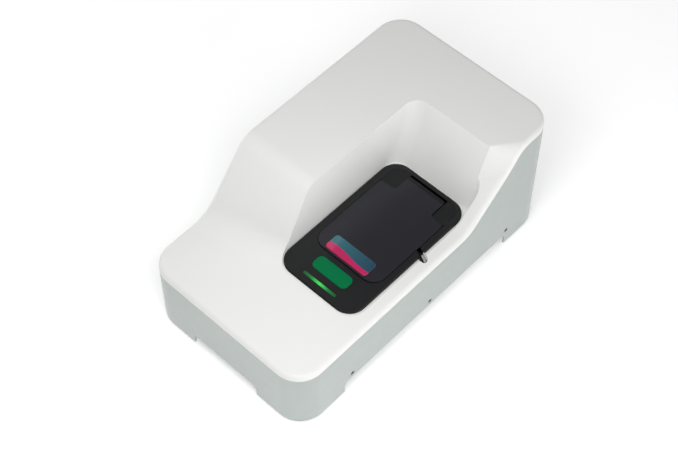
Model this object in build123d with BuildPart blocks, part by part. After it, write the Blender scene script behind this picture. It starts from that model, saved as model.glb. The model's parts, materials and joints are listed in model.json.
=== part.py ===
from build123d import *
import math
import os

os.makedirs("parts", exist_ok=True)

# Housing, heights measured up from the table and distances back from the front face
body_width = 322
body_depth = 565
body_height = 245
stand_height = 6
plan_radius = 45
wall = 3
rim_height = 8.5
rim_round = 8
seam_gap = 0.3
lip_depth = 8
lip_wall = 2.3

# Deck, ramps and crests of the top cover
deck_height = 132.5
deck_climb = 2
left_foot = 119
left_crest = 211.5
left_foot_round = 60
left_crest_round = 45
inner_foot = 158
inner_crest = 213
inner_foot_round = 38
inner_crest_round = 28
arm_foot = 370
arm_foot_round = 35
arm_slope = 42.8
arm_end_crest = 485
arm_end_knee = 450
arm_end_knee_drop = 2.5
arm_end_knee_round = 40
arm_end_crest_round = 45
arm_crest_round = 8
arm_knee_round = 10

# Well, whose back wall leans and whose floor carries the lid unit
well_left = -21.5
well_right = 139
well_front = 131
well_back = 406
well_drop = 1.5
well_back_lean = 20.9
well_front_round = 34
well_back_left_round = 25
well_back_right_round = 14

# Skirt notches, screws and rear opening
front_notch_width = 134
front_notch_height = 21
side_notch_width = 375
side_notch_height = 24
side_notch_middle = 282.5
notch_round = 9
skirt_screw_height = 40
skirt_screw_places = (112, 288, 472)
screw_radius = 2
screw_head_radius = 3.6
screw_head_height = 2.2
panel_width = 214
panel_height = 146
panel_low = 62
panel_round = 8
panel_lap = 8
panel_thickness = 2

# Base tray and feet
tray_floor = 31
tray_thickness = 3
tray_flange_height = 22
tray_flange_wall = 2.5
fit_gap = 0.3
leg_radius = 22
leg_middle_x = 118
leg_middle_y = 232
foot_radius = 18
foot_height = 9
foot_recess = 3

# Lid bezel, in the well
bezel_margin_left = 1
bezel_margin_right = 4.5
bezel_margin_front = 4
bezel_margin_back = 2
bezel_round = 30
bezel_rise = 3
bezel_edge_round = 1.5
bezel_seat = 5
bezel_gap = 0.5
bezel_wall = 2.5
bezel_drop = 22
bezel_top_wall = 3

# Lid opening in the bezel
opening_left_margin = 13
opening_right_margin = 11.5
opening_back_margin = 8
opening_front = 200
opening_front_round = 24
opening_back_round = 21
lid_gap = 0.8

# Lid, its tongue and hinge
hinge_from_front = 385
hinge_drop = 6.5
pin_radius = 2
running_gap = 0.05
knuckle_radius = 5.6
hinge_block_front = 356.3
left_block_width = 30
right_block_width = 26
tongue_back_round = 3
lid_crown = 2
lid_shoulder = 20
lid_shoulder_round = 60
lid_edge_rise = 0.3
lid_depth = 10
lid_wall = 2.5
liner_thickness = 2.5
seal_width = 4
seal_span = 84

# Label plate, button and light bar
label_width = 82.5
label_length = 29
label_round = 6
label_thickness = 0.8
label_setback = 3.2
label_middle_x = 57.5
button_width = 69
button_length = 25
button_round = 9
button_from_front = 178
button_rise = 0.9
button_travel = 2
button_gap = 0.4
button_flange = 2
light_width = 65
light_length = 5
light_from_front = 150
light_rise = 0.3

# Tube spout on the bezel's right edge
spout_outer = 5.5
spout_inner = 3.5
spout_gap = 0.6
spout_turn = -26.6
spout_dip = 4
spout_from_front = 299
spout_reach = 24
spout_drop = 2

# Seal, magnets, board and springs under the lid unit
magnet_radius = 4
magnet_thickness = 2.2
magnet_setback = 12
magnet_margin = 24
liner_pocket = 24
button_edge_round = 1
board_thickness = 1.6
spring_length = 24
spring_width = 8
spring_leaf = 0.5

# Cell block, which holds a square cell with its beam height above the pocket's floor
cell_from_front = 290
cell_block_size = 44
cell_beam_height = 15
pocket_width = 12.6
finger_depth = 10
finger_length = 34
beam_hole = 2.5

# Optical bench and its isolators
isolator_radius = 10
isolator_height = 12
bench_width = 296
bench_thickness = 12
bench_front = 30
bench_back = 440
beam_rise = 34

# Laser, its clamps and supply
laser_x = -118
laser_front = 110
laser_length = 300
laser_radius = 20
clamp_length = 22
supply_size = (56, 100, 70)

# Mirrors and shutter
fold_x = -70
first_mirror = 80
mirror_radius = 10
mirror_thickness = 4
mount_size = 25
mount_thickness = 6
shutter_from_front = 170
shutter_offset = 24
solenoid_radius = 11
solenoid_length = 20
shaft_radius = 2
flag_length = 33.2

# Attenuator and filter wheels with their motors
wheel_holes = 8
hub_length = 5
motor_size = 24
motor_length = 22
attenuator_x = -52
attenuator_radius = 33
attenuator_circle = 26
filter_x = 0
filter_from_front = 385
filter_rise = 26
filter_radius = 22
filter_circle = 15

# Measuring lens and its slide
lens_rest_x = 22
lens_travel = 12
lens_radius = 12
lens_bulge = 4
carriage_length = 18
carriage_width = 50
frame_width = 52
frame_base = 4
rail_radius = 3
rail_half = 20
rail_rise = 12
lens_motor_size = 24
lens_motor_length = 24
splitter_size = 12

# Thermoelectric module, heat sink and detectors
module_size = 40
module_thickness = 4
sink_width = 60
sink_depth = 34
sink_base = 4
sink_fin = 2
sink_fins = 9
forward_x = 98
detector_size = (36, 36)
nose_radius = 5

# Electronics shelf and main board
shelf_right = -28
shelf_front = 200
shelf_back = 430
shelf_height = 138
shelf_leg = 20
sheet = 2
standoff = 8

# Rear panel fittings
fan_x = 60
fan_z = 130
fan_size = 80
fan_depth = 25
fan_bore = 38
rotor_radius = 36.5
rotor_hub = 15
rotor_blades = 7
blade_pitch = 35
slot_rings = 5
slot_first = 10
slot_pitch = 6.5
slot_height = 2.6
slot_web = 4
socket_z = 75
inlet_x = -70
inlet_radius = 7
inlet_depth = 14
data_x = -38
data_size = 12
switch_x = -4
switch_width = 22
switch_height = 13.5
rocker_length = 18
rocker_width = 10
rocker_tilt = 12
purge_x = -60
purge_z = 150
purge_radius = 7
purge_bore = 3
purge_depth = 15
fitting_flange = 1.5

front = -body_depth / 2
back = body_depth / 2
left = -body_width / 2
right = body_width / 2
well_floor = deck_height - well_drop
spare = 20
least_round = 0.6


def crossing(a, b, c, d):
    """Point where the line through a and b meets the line through c and d."""
    run = (b[0] - a[0], b[1] - a[1])
    other = (d[0] - c[0], d[1] - c[1])
    along = ((c[0] - a[0]) * other[1] - (c[1] - a[1]) * other[0]) / (
        run[0] * other[1] - run[1] * other[0]
    )
    return (a[0] + along * run[0], a[1] + along * run[1])


def moved_chain(points, depth):
    """An open chain of (y, z) points moved squarely into the body by depth."""
    lines = []
    for (y0, z0), (y1, z1) in zip(points, points[1:]):
        length = math.hypot(y1 - y0, z1 - z0)
        shift_y = depth * (z1 - z0) / length
        shift_z = -depth * (y1 - y0) / length
        lines.append(((y0 + shift_y, z0 + shift_z), (y1 + shift_y, z1 + shift_z)))
    corners = [crossing(*first, *second) for first, second in zip(lines, lines[1:])]
    return [lines[0][0], *corners, lines[-1][1]]


def moved_rounds(points, rounds, depth):
    """Corner radii of a chain moved into the body: hollows grow and crests shrink."""
    result = []
    for before, corner, after, radius in zip(points, points[1:], points[2:], rounds):
        turn = (corner[0] - before[0]) * (after[1] - corner[1]) - (corner[1] - before[1]) * (
            after[0] - corner[0]
        )
        result.append(max(radius + math.copysign(depth, turn), least_round))
    return result


def deck_at(from_front):
    """Height of the gently climbing deck at a distance from the front face."""
    return deck_height + deck_climb * from_front / arm_foot


def rear_wall_at(height):
    """Distance of the well's leaning back wall from the front face at a height."""
    return well_back + (height - well_floor) * math.tan(math.radians(well_back_lean))


def arm_at(from_front):
    """Height of the right arm's straight ramp at a distance from the front face."""
    return deck_at(arm_foot) + (from_front - arm_foot) * math.tan(math.radians(arm_slope))


def side_chain(*corners):
    """Chain of (y, z) points from ahead of the front face over the corners to the back."""
    return [
        (front - spare, deck_at(-spare)),
        *[(front + from_front, height) for from_front, height in corners],
        (back + spare, body_height),
    ]


wall_top = (rear_wall_at(body_height), body_height)
wall_knee = crossing(
    (arm_foot, deck_at(arm_foot)),
    (arm_end_crest, arm_at(arm_end_crest)),
    (well_back, well_floor),
    wall_top,
)
step_at = (inner_crest + arm_foot) / 2

# Side sections of the cover from left to right, each with its corner radii
outer_ramp = side_chain((left_foot, deck_at(left_foot)), (left_crest, body_height))
outer_rounds = [left_foot_round, left_crest_round]
inner_ramp = side_chain((inner_foot, deck_at(inner_foot)), (inner_crest, body_height))
inner_rounds = [inner_foot_round, inner_crest_round]
middle_step = side_chain((step_at, deck_at(step_at)), (step_at, body_height))
arm_start = side_chain((arm_foot, deck_at(arm_foot)), wall_knee, wall_top)
arm_start_rounds = [arm_foot_round, arm_knee_round, arm_crest_round]
arm_end = side_chain(
    (arm_foot, deck_at(arm_foot)),
    (arm_end_knee, arm_at(arm_end_knee) - arm_end_knee_drop),
    (arm_end_crest, body_height),
)
arm_end_rounds = [arm_foot_round, arm_end_knee_round, arm_end_crest_round]


def side_face(chain, rounds, depth, x):
    """Closed upright section at x, from the table up to the chain moved in by depth."""
    moved = moved_chain(chain, depth)
    with BuildSketch(Plane.YZ.offset(x)) as face:
        with BuildLine():
            if rounds:
                top = FilletPolyline(*moved, radius=moved_rounds(chain, rounds, depth))
            else:
                top = Polyline(*moved)
            Polyline(top @ 1, (moved[-1][0], 0), (moved[0][0], 0), top @ 0)
        make_face()
    return face.sketch


def housing_form(depth, inset):
    """Solid form of the housing, its top moved in by depth and its sides by inset."""
    ramp_end = well_left + well_front_round
    arm_from = well_right - well_back_right_round
    left_faces = [
        side_face(outer_ramp, outer_rounds, depth, left - 1),
        side_face(inner_ramp, inner_rounds, depth, well_left),
        side_face(inner_ramp, inner_rounds, depth, ramp_end),
    ]
    middle_face = side_face(middle_step, [], depth, ramp_end)
    right_faces = [
        side_face(arm_start, arm_start_rounds, depth, arm_from),
        side_face(arm_end, arm_end_rounds, depth, right + 1),
    ]
    with BuildPart() as form:
        loft(left_faces, ruled=True)
        extrude(middle_face, amount=arm_from - ramp_end)
        loft(right_faces, ruled=True)
        with BuildSketch(Plane.XY.offset(stand_height)):
            RectangleRounded(body_width - 2 * inset, body_depth - 2 * inset, plan_radius - inset)
        extrude(amount=body_height, mode=Mode.INTERSECT)
    return form.part


def well_outline(height, grow):
    """Plan of the well at a height, grown outward on all sides."""
    x0, x1 = well_left - grow, well_right + grow
    y0, y1 = front + well_front - grow, front + rear_wall_at(height) + grow
    rounds = [well_front_round, well_front_round, well_back_right_round, well_back_left_round]
    with BuildSketch(Plane.XY.offset(height)) as outline:
        with BuildLine():
            FilletPolyline(
                (x0, y0), (x1, y0), (x1, y1), (x0, y1), radius=[r + grow for r in rounds], close=True
            )
        make_face()
    return outline.sketch


def well_space(depth):
    """Space of the well, grown by depth below and around."""
    with BuildPart() as space:
        loft([well_outline(well_floor - depth, depth), well_outline(body_height + spare, depth)], ruled=True)
    return space.part


def plan_prism(inset, low, high):
    """Prism over the housing's plan, its sides moved in by inset."""
    with BuildPart() as prism:
        with BuildSketch(Plane.XY.offset(low)):
            RectangleRounded(body_width - 2 * inset, body_depth - 2 * inset, plan_radius - inset)
        extrude(amount=high - low)
    return prism.part


def slab(x_span, y_span, z_span, mode=Mode.ADD):
    """Block between pairs of limits, joined to the open part."""
    spans = (x_span, y_span, z_span)
    with Locations(tuple((low + high) / 2 for low, high in spans)):
        Box(*[high - low for low, high in spans], mode=mode)


def rod(start, direction, radius, length, mode=Mode.ADD):
    """Round rod from a start point along a direction, joined to the open part."""
    with Locations(Plane(origin=start, z_dir=direction)):
        Cylinder(radius, length, align=(Align.CENTER, Align.CENTER, Align.MIN), mode=mode)


def rounded_slab(x_span, y_span, z_span, rounds, mode=Mode.ADD):
    """Block with its own radius at each upright corner, from the front left corner round."""
    (x0, x1), (y0, y1) = x_span, y_span
    with BuildSketch(Plane.XY.offset(z_span[0])) as outline:
        with BuildLine():
            FilletPolyline((x0, y0), (x1, y0), (x1, y1), (x0, y1), radius=rounds, close=True)
        make_face()
    extrude(outline.sketch, amount=z_span[1] - z_span[0], mode=mode)


def grown(span, amount):
    """A pair of limits moved apart by amount at each end."""
    return (span[0] - amount, span[1] + amount)


# Places that follow from the sizes above
bezel_x = (well_left + bezel_margin_left, well_right - bezel_margin_right)
bezel_y = (front + well_front + bezel_margin_front, front + well_back - bezel_margin_back)
bezel_top = well_floor + bezel_rise
bezel_bottom = bezel_top - bezel_drop
bezel_body_x = grown(bezel_x, -bezel_seat)
bezel_body_y = grown(bezel_y, -bezel_seat)
bezel_body_round = bezel_round - bezel_seat
cavity_x = grown(bezel_body_x, -bezel_wall)
cavity_y = grown(bezel_body_y, -bezel_wall)
cavity_round = bezel_body_round - bezel_wall
opening_x = (bezel_x[0] + opening_left_margin, bezel_x[1] - opening_right_margin)
opening_y = (front + opening_front, bezel_y[1] - opening_back_margin)
opening_rounds = [opening_front_round, opening_front_round, opening_back_round, opening_back_round]

spout_angle = math.radians(spout_turn)
spout_dip_angle = math.radians(spout_dip)
spout_way = Vector(
    math.cos(spout_angle) * math.cos(spout_dip_angle),
    math.sin(spout_angle) * math.cos(spout_dip_angle),
    -math.sin(spout_dip_angle),
)
spout_start = Vector(opening_x[1] - 1, front + spout_from_front, bezel_top - spout_drop)
spout_end = spout_start + spout_way * spout_reach

def spout_profile(radius, top):
    """U-shaped section of the spout, square to its run, up to a height over its axis."""
    across = Vector(0, 0, 1).cross(spout_way)
    with BuildSketch(Plane(origin=spout_start, x_dir=across, z_dir=spout_way)) as section:
        Circle(radius)
        with Locations((0, top / 2)):
            Rectangle(2 * radius, top)
    return section.sketch


# Top cover: skin, rim, lip and well in one moulding
with BuildPart() as eased_form:
    add(housing_form(0, 0))
    side_faces = [
        face
        for face in eased_form.faces()
        if abs(face.normal_at(face.center()).Z) < 0.001 and face.bounding_box().min.Z < stand_height + 1
    ]
    rim_edges = [
        edge
        for face in side_faces
        for edge in face.edges()
        if edge.center().Z > stand_height + 1 and abs(edge.tangent_at(0.5).Z) < 0.99
    ]
    fillet(rim_edges, rim_round)

with BuildPart() as spout_boss:
    rod(spout_start, spout_way, spout_outer + spout_gap + wall, spout_reach)
with BuildPart() as spout_trough:
    extrude(spout_profile(spout_outer + spout_gap, spare), amount=spout_reach)
    with Locations(spout_end):
        Sphere(spout_outer + spout_gap)

cover_cavity = housing_form(wall, wall + lip_wall) - well_space(wall) - spout_boss.part
below_seam = housing_form(rim_height, 0) - plan_prism(wall + seam_gap, 0, body_height)
below_lip = housing_form(rim_height + lip_depth, 0) - plan_prism(wall + lip_wall, 0, body_height)

with BuildPart() as top_cover:
    add(eased_form.part)
    add(well_space(0), mode=Mode.SUBTRACT)
    add(cover_cavity, mode=Mode.SUBTRACT)
    add(below_seam, mode=Mode.SUBTRACT)
    add(below_lip, mode=Mode.SUBTRACT)
    add(spout_trough.part, mode=Mode.SUBTRACT)
    rounded_slab(
        grown(bezel_body_x, bezel_gap),
        grown(bezel_body_y, bezel_gap),
        (bezel_bottom, well_floor + 1),
        [bezel_body_round + bezel_gap] * 4,
        mode=Mode.SUBTRACT,
    )
top_cover.part.label = "top_cover"
export_step(top_cover.part, "parts/top_cover.step")

# Side skirt, with its lifting notches, rear opening and screw holes
def notch(way, middle, across, width, height):
    """Lifting notch through one wall of the skirt, rounded at its upper corners."""
    with BuildPart() as gap:
        with BuildSketch(Plane(origin=middle, x_dir=across, z_dir=way)):
            with BuildLine():
                half, low = width / 2, -height
                FilletPolyline(
                    (-half, low), (-half, height), (half, height), (half, low), radius=notch_round
                )
                Line((half, low), (-half, low))
            make_face()
        extrude(amount=wall * 2, both=True)
    return gap.part


screw_spots = [
    (side * right, front + place, skirt_screw_height) for side in (-1, 1) for place in skirt_screw_places
]
panel_middle_z = panel_low + panel_height / 2
panel_x = grown((0, 0), panel_width / 2 + panel_lap)
panel_z = (panel_low - panel_lap, panel_low + panel_height + panel_lap)
panel_screw_spots = [
    (x, z) for x in grown(panel_x, -panel_lap / 2) for z in grown(panel_z, -panel_lap / 2)
]
with BuildPart() as side_skirt:
    add(housing_form(rim_height + seam_gap, 0))
    add(plan_prism(wall, 0, body_height), mode=Mode.SUBTRACT)
    add(
        notch((0, 1, 0), (0, front, stand_height), (-1, 0, 0), front_notch_width, front_notch_height),
        mode=Mode.SUBTRACT,
    )
    for x in (left, right):
        add(
            notch(
                (1, 0, 0), (x, front + side_notch_middle, stand_height), (0, 1, 0), side_notch_width, side_notch_height
            ),
            mode=Mode.SUBTRACT,
        )
    with BuildSketch(Plane(origin=(0, back, panel_middle_z), x_dir=(-1, 0, 0), z_dir=(0, 1, 0))):
        RectangleRounded(panel_width, panel_height, panel_round)
    extrude(amount=wall * 2, both=True, mode=Mode.SUBTRACT)
    for x, y, z in screw_spots:
        rod((x, y, z), (-x, 0, 0), screw_head_radius + fit_gap, screw_head_height, mode=Mode.SUBTRACT)
        rod((x, y, z), (-x, 0, 0), screw_radius + fit_gap, wall + 1, mode=Mode.SUBTRACT)
    for x, z in panel_screw_spots:
        rod((x, back, z), (0, -1, 0), screw_head_radius + fit_gap, screw_head_height, mode=Mode.SUBTRACT)
        rod((x, back, z), (0, -1, 0), screw_radius + fit_gap, wall + 1, mode=Mode.SUBTRACT)
side_skirt.part.label = "side_skirt"
export_step(side_skirt.part, "parts/side_skirt.step")

# Base tray: floor, upturned flange and four legs
leg_spots = [(x, y) for x in (-leg_middle_x, leg_middle_x) for y in (-leg_middle_y, leg_middle_y)]
leg_low = foot_height - foot_recess
tray_inset = wall + fit_gap
tray_top = tray_floor + tray_thickness
with BuildPart() as base_tray:
    add(plan_prism(tray_inset, tray_floor, tray_floor + tray_flange_height))
    add(plan_prism(tray_inset + tray_flange_wall, tray_top, body_height), mode=Mode.SUBTRACT)
    for x, y in leg_spots:
        rod((x, y, leg_low), (0, 0, 1), leg_radius, tray_floor - leg_low)
        rod((x, y, leg_low - 1), (0, 0, 1), foot_radius, foot_recess + 1, mode=Mode.SUBTRACT)
        rod((x, y, leg_low), (0, 0, 1), screw_radius, tray_floor - leg_low, mode=Mode.SUBTRACT)
    for x, y, z in screw_spots:
        rod((x, y, z), (-x, 0, 0), screw_radius, wall * 3, mode=Mode.SUBTRACT)
base_tray.part.label = "base_tray"
export_step(base_tray.part, "parts/base_tray.step")

with BuildPart() as rubber_feet:
    for x, y in leg_spots:
        rod((x, y, 0), (0, 0, 1), foot_radius, foot_height)
        rod((x, y, 0), (0, 0, 1), screw_head_radius + fit_gap, foot_height / 2, mode=Mode.SUBTRACT)
        rod((x, y, 0), (0, 0, 1), screw_radius + fit_gap, foot_height, mode=Mode.SUBTRACT)
    chamfer(rubber_feet.faces().sort_by(Axis.Z)[:4].edges().filter_by(lambda e: e.length > 60), 1)
rubber_feet.part.label = "rubber_feet"
export_step(rubber_feet.part, "parts/rubber_feet.step")


def screw(head_at, way, length):
    """Pan-head screw whose head's inner face is at a point and whose shank runs along a way."""
    head = Vector(head_at) - Vector(way) * screw_head_height
    rod(head, way, screw_head_radius, screw_head_height)
    rod(head_at, way, screw_radius, length)
    rod(head, way, screw_radius * 0.6, screw_head_height / 2, mode=Mode.SUBTRACT)


with BuildPart() as foot_screws:
    for x, y in leg_spots:
        screw((x, y, foot_height / 2), (0, 0, 1), foot_height + 4)
foot_screws.part.label = "foot_screws"
export_step(foot_screws.part, "parts/foot_screws.step")

with BuildPart() as skirt_screws:
    for x, y, z in screw_spots:
        side = math.copysign(1, x)
        screw((x - side * screw_head_height, y, z), (-side, 0, 0), wall + 2)
skirt_screws.part.label = "skirt_screws"
export_step(skirt_screws.part, "parts/skirt_screws.step")

# Lid bezel: frame, lid well, button hole, light slot and tube spout
button_y = front + button_from_front
button_x = (label_middle_x - button_width / 2, label_middle_x + button_width / 2)
button_span_y = (button_y - button_length / 2, button_y + button_length / 2)
light_y = front + light_from_front
light_x = (label_middle_x - light_width / 2, label_middle_x + light_width / 2)
light_span_y = (light_y - light_length / 2, light_y + light_length / 2)
flange_under = bezel_top - bezel_top_wall
rib_y = (opening_y[0] - bezel_wall - 1, opening_y[0] - 1)
ledge = 3
ledge_height = 2
tray_shelf = bezel_bottom + ledge_height
board_top = bezel_bottom + 8
board_posts = [(x, y) for x in (cavity_x[0] + 14, cavity_x[1] - 14) for y in (cavity_y[0] + 9, rib_y[0] - 8)]

with BuildPart() as spout_body:
    extrude(spout_profile(spout_outer, spare), amount=spout_reach)
    slab((cavity_x[1], right), (front, back), (0, bezel_top), mode=Mode.INTERSECT)

with BuildPart() as lid_bezel:
    rounded_slab(bezel_x, bezel_y, (well_floor, bezel_top), [bezel_round] * 4)
    chamfer(lid_bezel.faces().sort_by(Axis.Z)[-1].edges(), bezel_edge_round)
    rounded_slab(bezel_body_x, bezel_body_y, (bezel_bottom, well_floor), [bezel_body_round] * 4)
    rounded_slab(
        cavity_x, cavity_y, (bezel_bottom - 1, flange_under), [cavity_round] * 4, mode=Mode.SUBTRACT
    )
    slab(grown(cavity_x, 1), rib_y, (bezel_bottom, flange_under))
    rounded_slab(
        cavity_x, (rib_y[0], cavity_y[1] + 1), (bezel_bottom, tray_shelf), [1, 1, cavity_round, cavity_round]
    )
    rounded_slab(
        grown(cavity_x, -ledge),
        (rib_y[1] + ledge, cavity_y[1] - ledge),
        (bezel_bottom - 1, tray_shelf + 1),
        [3, 3, cavity_round - ledge, cavity_round - ledge],
        mode=Mode.SUBTRACT,
    )
    rounded_slab(opening_x, opening_y, (flange_under - 1, bezel_top + 1), opening_rounds, mode=Mode.SUBTRACT)
    rounded_slab(
        grown(button_x, button_gap),
        grown(button_span_y, button_gap),
        (flange_under - 1, bezel_top + 1),
        [button_round + button_gap] * 4,
        mode=Mode.SUBTRACT,
    )
    rounded_slab(
        grown(light_x, 0.1), grown(light_span_y, 0.1), (flange_under - 1, bezel_top + 1), [1] * 4, mode=Mode.SUBTRACT
    )
    for x, y in board_posts:
        rod((x, y, board_top), (0, 0, 1), 3, flange_under - board_top)
        rod((x, y, board_top - 1), (0, 0, 1), 1.2, 8, mode=Mode.SUBTRACT)
    add(spout_body.part)
    extrude(spout_profile(spout_inner, spare), amount=spout_reach + 2, mode=Mode.SUBTRACT)
lid_bezel.part.label = "lid_bezel"
export_step(lid_bezel.part, "parts/lid_bezel.step")

# Fixed hinge blocks in the back corners of the lid opening
hinge_y = front + hinge_from_front
hinge_z = bezel_top - hinge_drop
block_front = front + hinge_block_front
tray_floor_top = tray_shelf + 2
left_block_x = (opening_x[0] - 1, opening_x[0] + left_block_width)
right_block_x = (opening_x[1] - right_block_width, opening_x[1] + 1)
block_round = 5
pin_inset = 12
with BuildPart() as hinge_blocks:
    rounded_slab(
        grown(opening_x, -fit_gap),
        grown(opening_y, -fit_gap),
        (tray_floor_top, bezel_top),
        [r - fit_gap for r in opening_rounds],
    )
    rounded_slab(
        left_block_x, (block_front, opening_y[1] + 1), (0, body_height), [1, block_round, 1, 1], mode=Mode.INTERSECT
    )
    with BuildPart(mode=Mode.PRIVATE) as right_block:
        rounded_slab(
            grown(opening_x, -fit_gap),
            grown(opening_y, -fit_gap),
            (tray_floor_top, bezel_top),
            [r - fit_gap for r in opening_rounds],
        )
        rounded_slab(
            right_block_x,
            (block_front, opening_y[1] + 1),
            (0, body_height),
            [block_round, 1, 1, 1],
            mode=Mode.INTERSECT,
        )
    add(right_block.part)
    rod((opening_x[0] + pin_inset, hinge_y, hinge_z), (1, 0, 0), pin_radius, opening_x[1] - opening_x[0] - 2 * pin_inset, mode=Mode.SUBTRACT)
hinge_blocks.part.label = "hinge_blocks"
export_step(hinge_blocks.part, "parts/hinge_blocks.step")

# Lid shell: crowned top, thin walls, and a tongue that carries the hinge knuckle
lid_x = grown(opening_x, -lid_gap)
lid_front = opening_y[0] + lid_gap
lid_back = block_front - lid_gap
tongue_x = (left_block_x[1] + lid_gap, right_block_x[0] - lid_gap)
tongue_back = hinge_y + knuckle_radius
lid_round = opening_front_round - lid_gap
lid_low = bezel_top - lid_depth
shell_rounds = [lid_round, lid_round, 4, block_round + lid_gap, tongue_back_round, tongue_back_round, block_round + lid_gap, 4]


def lid_outline(inset):
    """T-shaped plan of the lid, moved in by inset."""
    x0, x1 = grown(lid_x, -inset)
    t0, t1 = grown(tongue_x, -inset)
    y0, y1, y2 = lid_front + inset, lid_back - inset, tongue_back - inset
    turns = (-1, -1, -1, 1, -1, -1, 1, -1)
    with BuildSketch(Plane.XY.offset(lid_low)) as outline:
        with BuildLine():
            FilletPolyline(
                (x0, y0), (x1, y0), (x1, y1), (t1, y1), (t1, y2), (t0, y2), (t0, y1), (x0, y1),
                radius=[max(r + turn * inset, least_round) for r, turn in zip(shell_rounds, turns)],
                close=True,
            )
        make_face()
    return outline.sketch


def crown_profile(depth):
    """Section across the lid: level in the middle, easing down to both edges."""
    edge = bezel_top + lid_edge_rise - depth
    high = bezel_top + lid_crown - depth
    with BuildSketch(Plane.XZ.offset(-back)) as profile:
        with BuildLine():
            top = FilletPolyline(
                (lid_x[0] - 1, edge),
                (lid_x[0] + lid_shoulder, high),
                (lid_x[1] - lid_shoulder, high),
                (lid_x[1] + 1, edge),
                radius=lid_shoulder_round,
            )
            Polyline(top @ 1, (lid_x[1] + 1, 0), (lid_x[0] - 1, 0), top @ 0)
        make_face()
    return profile.sketch


with BuildPart() as lid_shell:
    extrude(lid_outline(0), amount=lid_depth + lid_crown + 1)
    extrude(crown_profile(0), amount=body_depth, mode=Mode.INTERSECT)
    with BuildPart(mode=Mode.PRIVATE) as lid_hollow:
        extrude(lid_outline(lid_wall), amount=lid_depth + lid_crown + 1)
        extrude(crown_profile(lid_wall), amount=body_depth, mode=Mode.INTERSECT)
    add(lid_hollow.part, mode=Mode.SUBTRACT)
    knuckle_start = (tongue_x[0], hinge_y, hinge_z)
    rod(knuckle_start, (1, 0, 0), knuckle_radius, tongue_x[1] - tongue_x[0])
    rod(knuckle_start, (1, 0, 0), pin_radius + running_gap, tongue_x[1] - tongue_x[0], mode=Mode.SUBTRACT)
lid_shell.part.label = "lid_shell"
export_step(lid_shell.part, "parts/lid_shell.step")

with BuildPart() as hinge_pin:
    rod((opening_x[0] + pin_inset, hinge_y, hinge_z), (1, 0, 0), pin_radius, opening_x[1] - opening_x[0] - 2 * pin_inset)
hinge_pin.part.label = "hinge_pin"
export_step(hinge_pin.part, "parts/hinge_pin.step")

# Lid liner, with a pocket over the cell, and the seal and magnets under it
cell_x = label_middle_x
cell_y = front + cell_from_front
liner_low = lid_low - liner_thickness
liner_x, liner_y = grown(lid_x, -1), (lid_front + 1, lid_back - 1)
with BuildPart() as lid_liner:
    rounded_slab(liner_x, liner_y, (liner_low, lid_low), [lid_round - 1, lid_round - 1, 3, 3])
    slab(grown((cell_x, cell_x), liner_pocket / 2), grown((cell_y, cell_y), liner_pocket / 2), (liner_low, lid_low), mode=Mode.SUBTRACT)
lid_liner.part.label = "lid_liner"
export_step(lid_liner.part, "parts/lid_liner.step")

seal_low = tray_floor_top + fit_gap
seal_half = seal_span / 2
with BuildPart() as lid_seal:
    for half, mode in ((seal_half, Mode.ADD), (seal_half - seal_width, Mode.SUBTRACT)):
        rounded_slab(
            (cell_x - half, cell_x + half), (cell_y - half, cell_y + half), (seal_low, liner_low), [half / 4] * 4, mode=mode
        )
lid_seal.part.label = "lid_seal"
export_step(lid_seal.part, "parts/lid_seal.step")

magnet_y = lid_front + magnet_setback
magnet_spots = [(lid_x[0] + magnet_margin, magnet_y), (lid_x[1] - magnet_margin, magnet_y)]
with BuildPart() as lid_magnets:
    for x, y in magnet_spots:
        rod((x, y, liner_low - magnet_thickness), (0, 0, 1), magnet_radius, magnet_thickness)
lid_magnets.part.label = "lid_magnets"
export_step(lid_magnets.part, "parts/lid_magnets.step")

with BuildPart() as catch_plate:
    for x, y in magnet_spots:
        rounded_slab(
            (x - magnet_radius - 2, x + magnet_radius + 2),
            (y - magnet_radius, y + magnet_radius),
            (tray_floor_top, liner_low - magnet_thickness - fit_gap),
            [2] * 4,
        )
catch_plate.part.label = "catch_plates"
export_step(catch_plate.part, "parts/catch_plates.step")

label_y = (lid_front + label_setback, lid_front + label_setback + label_length)
with BuildPart() as lid_label:
    rounded_slab(
        (label_middle_x - label_width / 2, label_middle_x + label_width / 2),
        label_y,
        (bezel_top + lid_crown, bezel_top + lid_crown + label_thickness),
        [label_round] * 4,
    )
    chamfer(lid_label.faces().sort_by(Axis.Z)[-1].edges(), label_thickness / 2)
lid_label.part.label = "lid_label"
export_step(lid_label.part, "parts/lid_label.step")

# Button with its flange, springs, switch and board, and the light bar
button_top = bezel_top + button_rise
flange_top = flange_under
flange_low = flange_top - button_flange
with BuildPart() as status_button:
    rounded_slab(button_x, button_span_y, (flange_low, button_top), [button_round] * 4)
    fillet(status_button.faces().sort_by(Axis.Z)[-1].edges(), button_edge_round)
    rounded_slab(grown(button_x, 2), grown(button_span_y, 2), (flange_low, flange_top), [button_round + 2] * 4)
status_button.part.label = "status_button"
export_step(status_button.part, "parts/status_button.step")

board_low = board_top - board_thickness
board_x, board_y = grown(cavity_x, -6), (cavity_y[0] + 4, rib_y[0] - 1)
with BuildPart() as indicator_board:
    rounded_slab(board_x, board_y, (board_low, board_top), [16, 16, 2, 2])
    for x, y in board_posts:
        rod((x, y, board_low - 1), (0, 0, 1), 1.2, board_thickness + 2, mode=Mode.SUBTRACT)
    with Locations((label_middle_x, light_y, board_top + 0.6)):
        with GridLocations(light_width / 6, 1, 6, 1):
            Box(3, 3, 1.2)
indicator_board.part.label = "indicator_board"
export_step(indicator_board.part, "parts/indicator_board.step")

with BuildPart() as board_screws:
    for x, y in board_posts:
        rod((x, y, board_low - 1.6), (0, 0, 1), 2.4, 1.6)
        rod((x, y, board_low), (0, 0, 1), 1.2, board_thickness + 6)
board_screws.part.label = "board_screws"
export_step(board_screws.part, "parts/board_screws.step")

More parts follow.
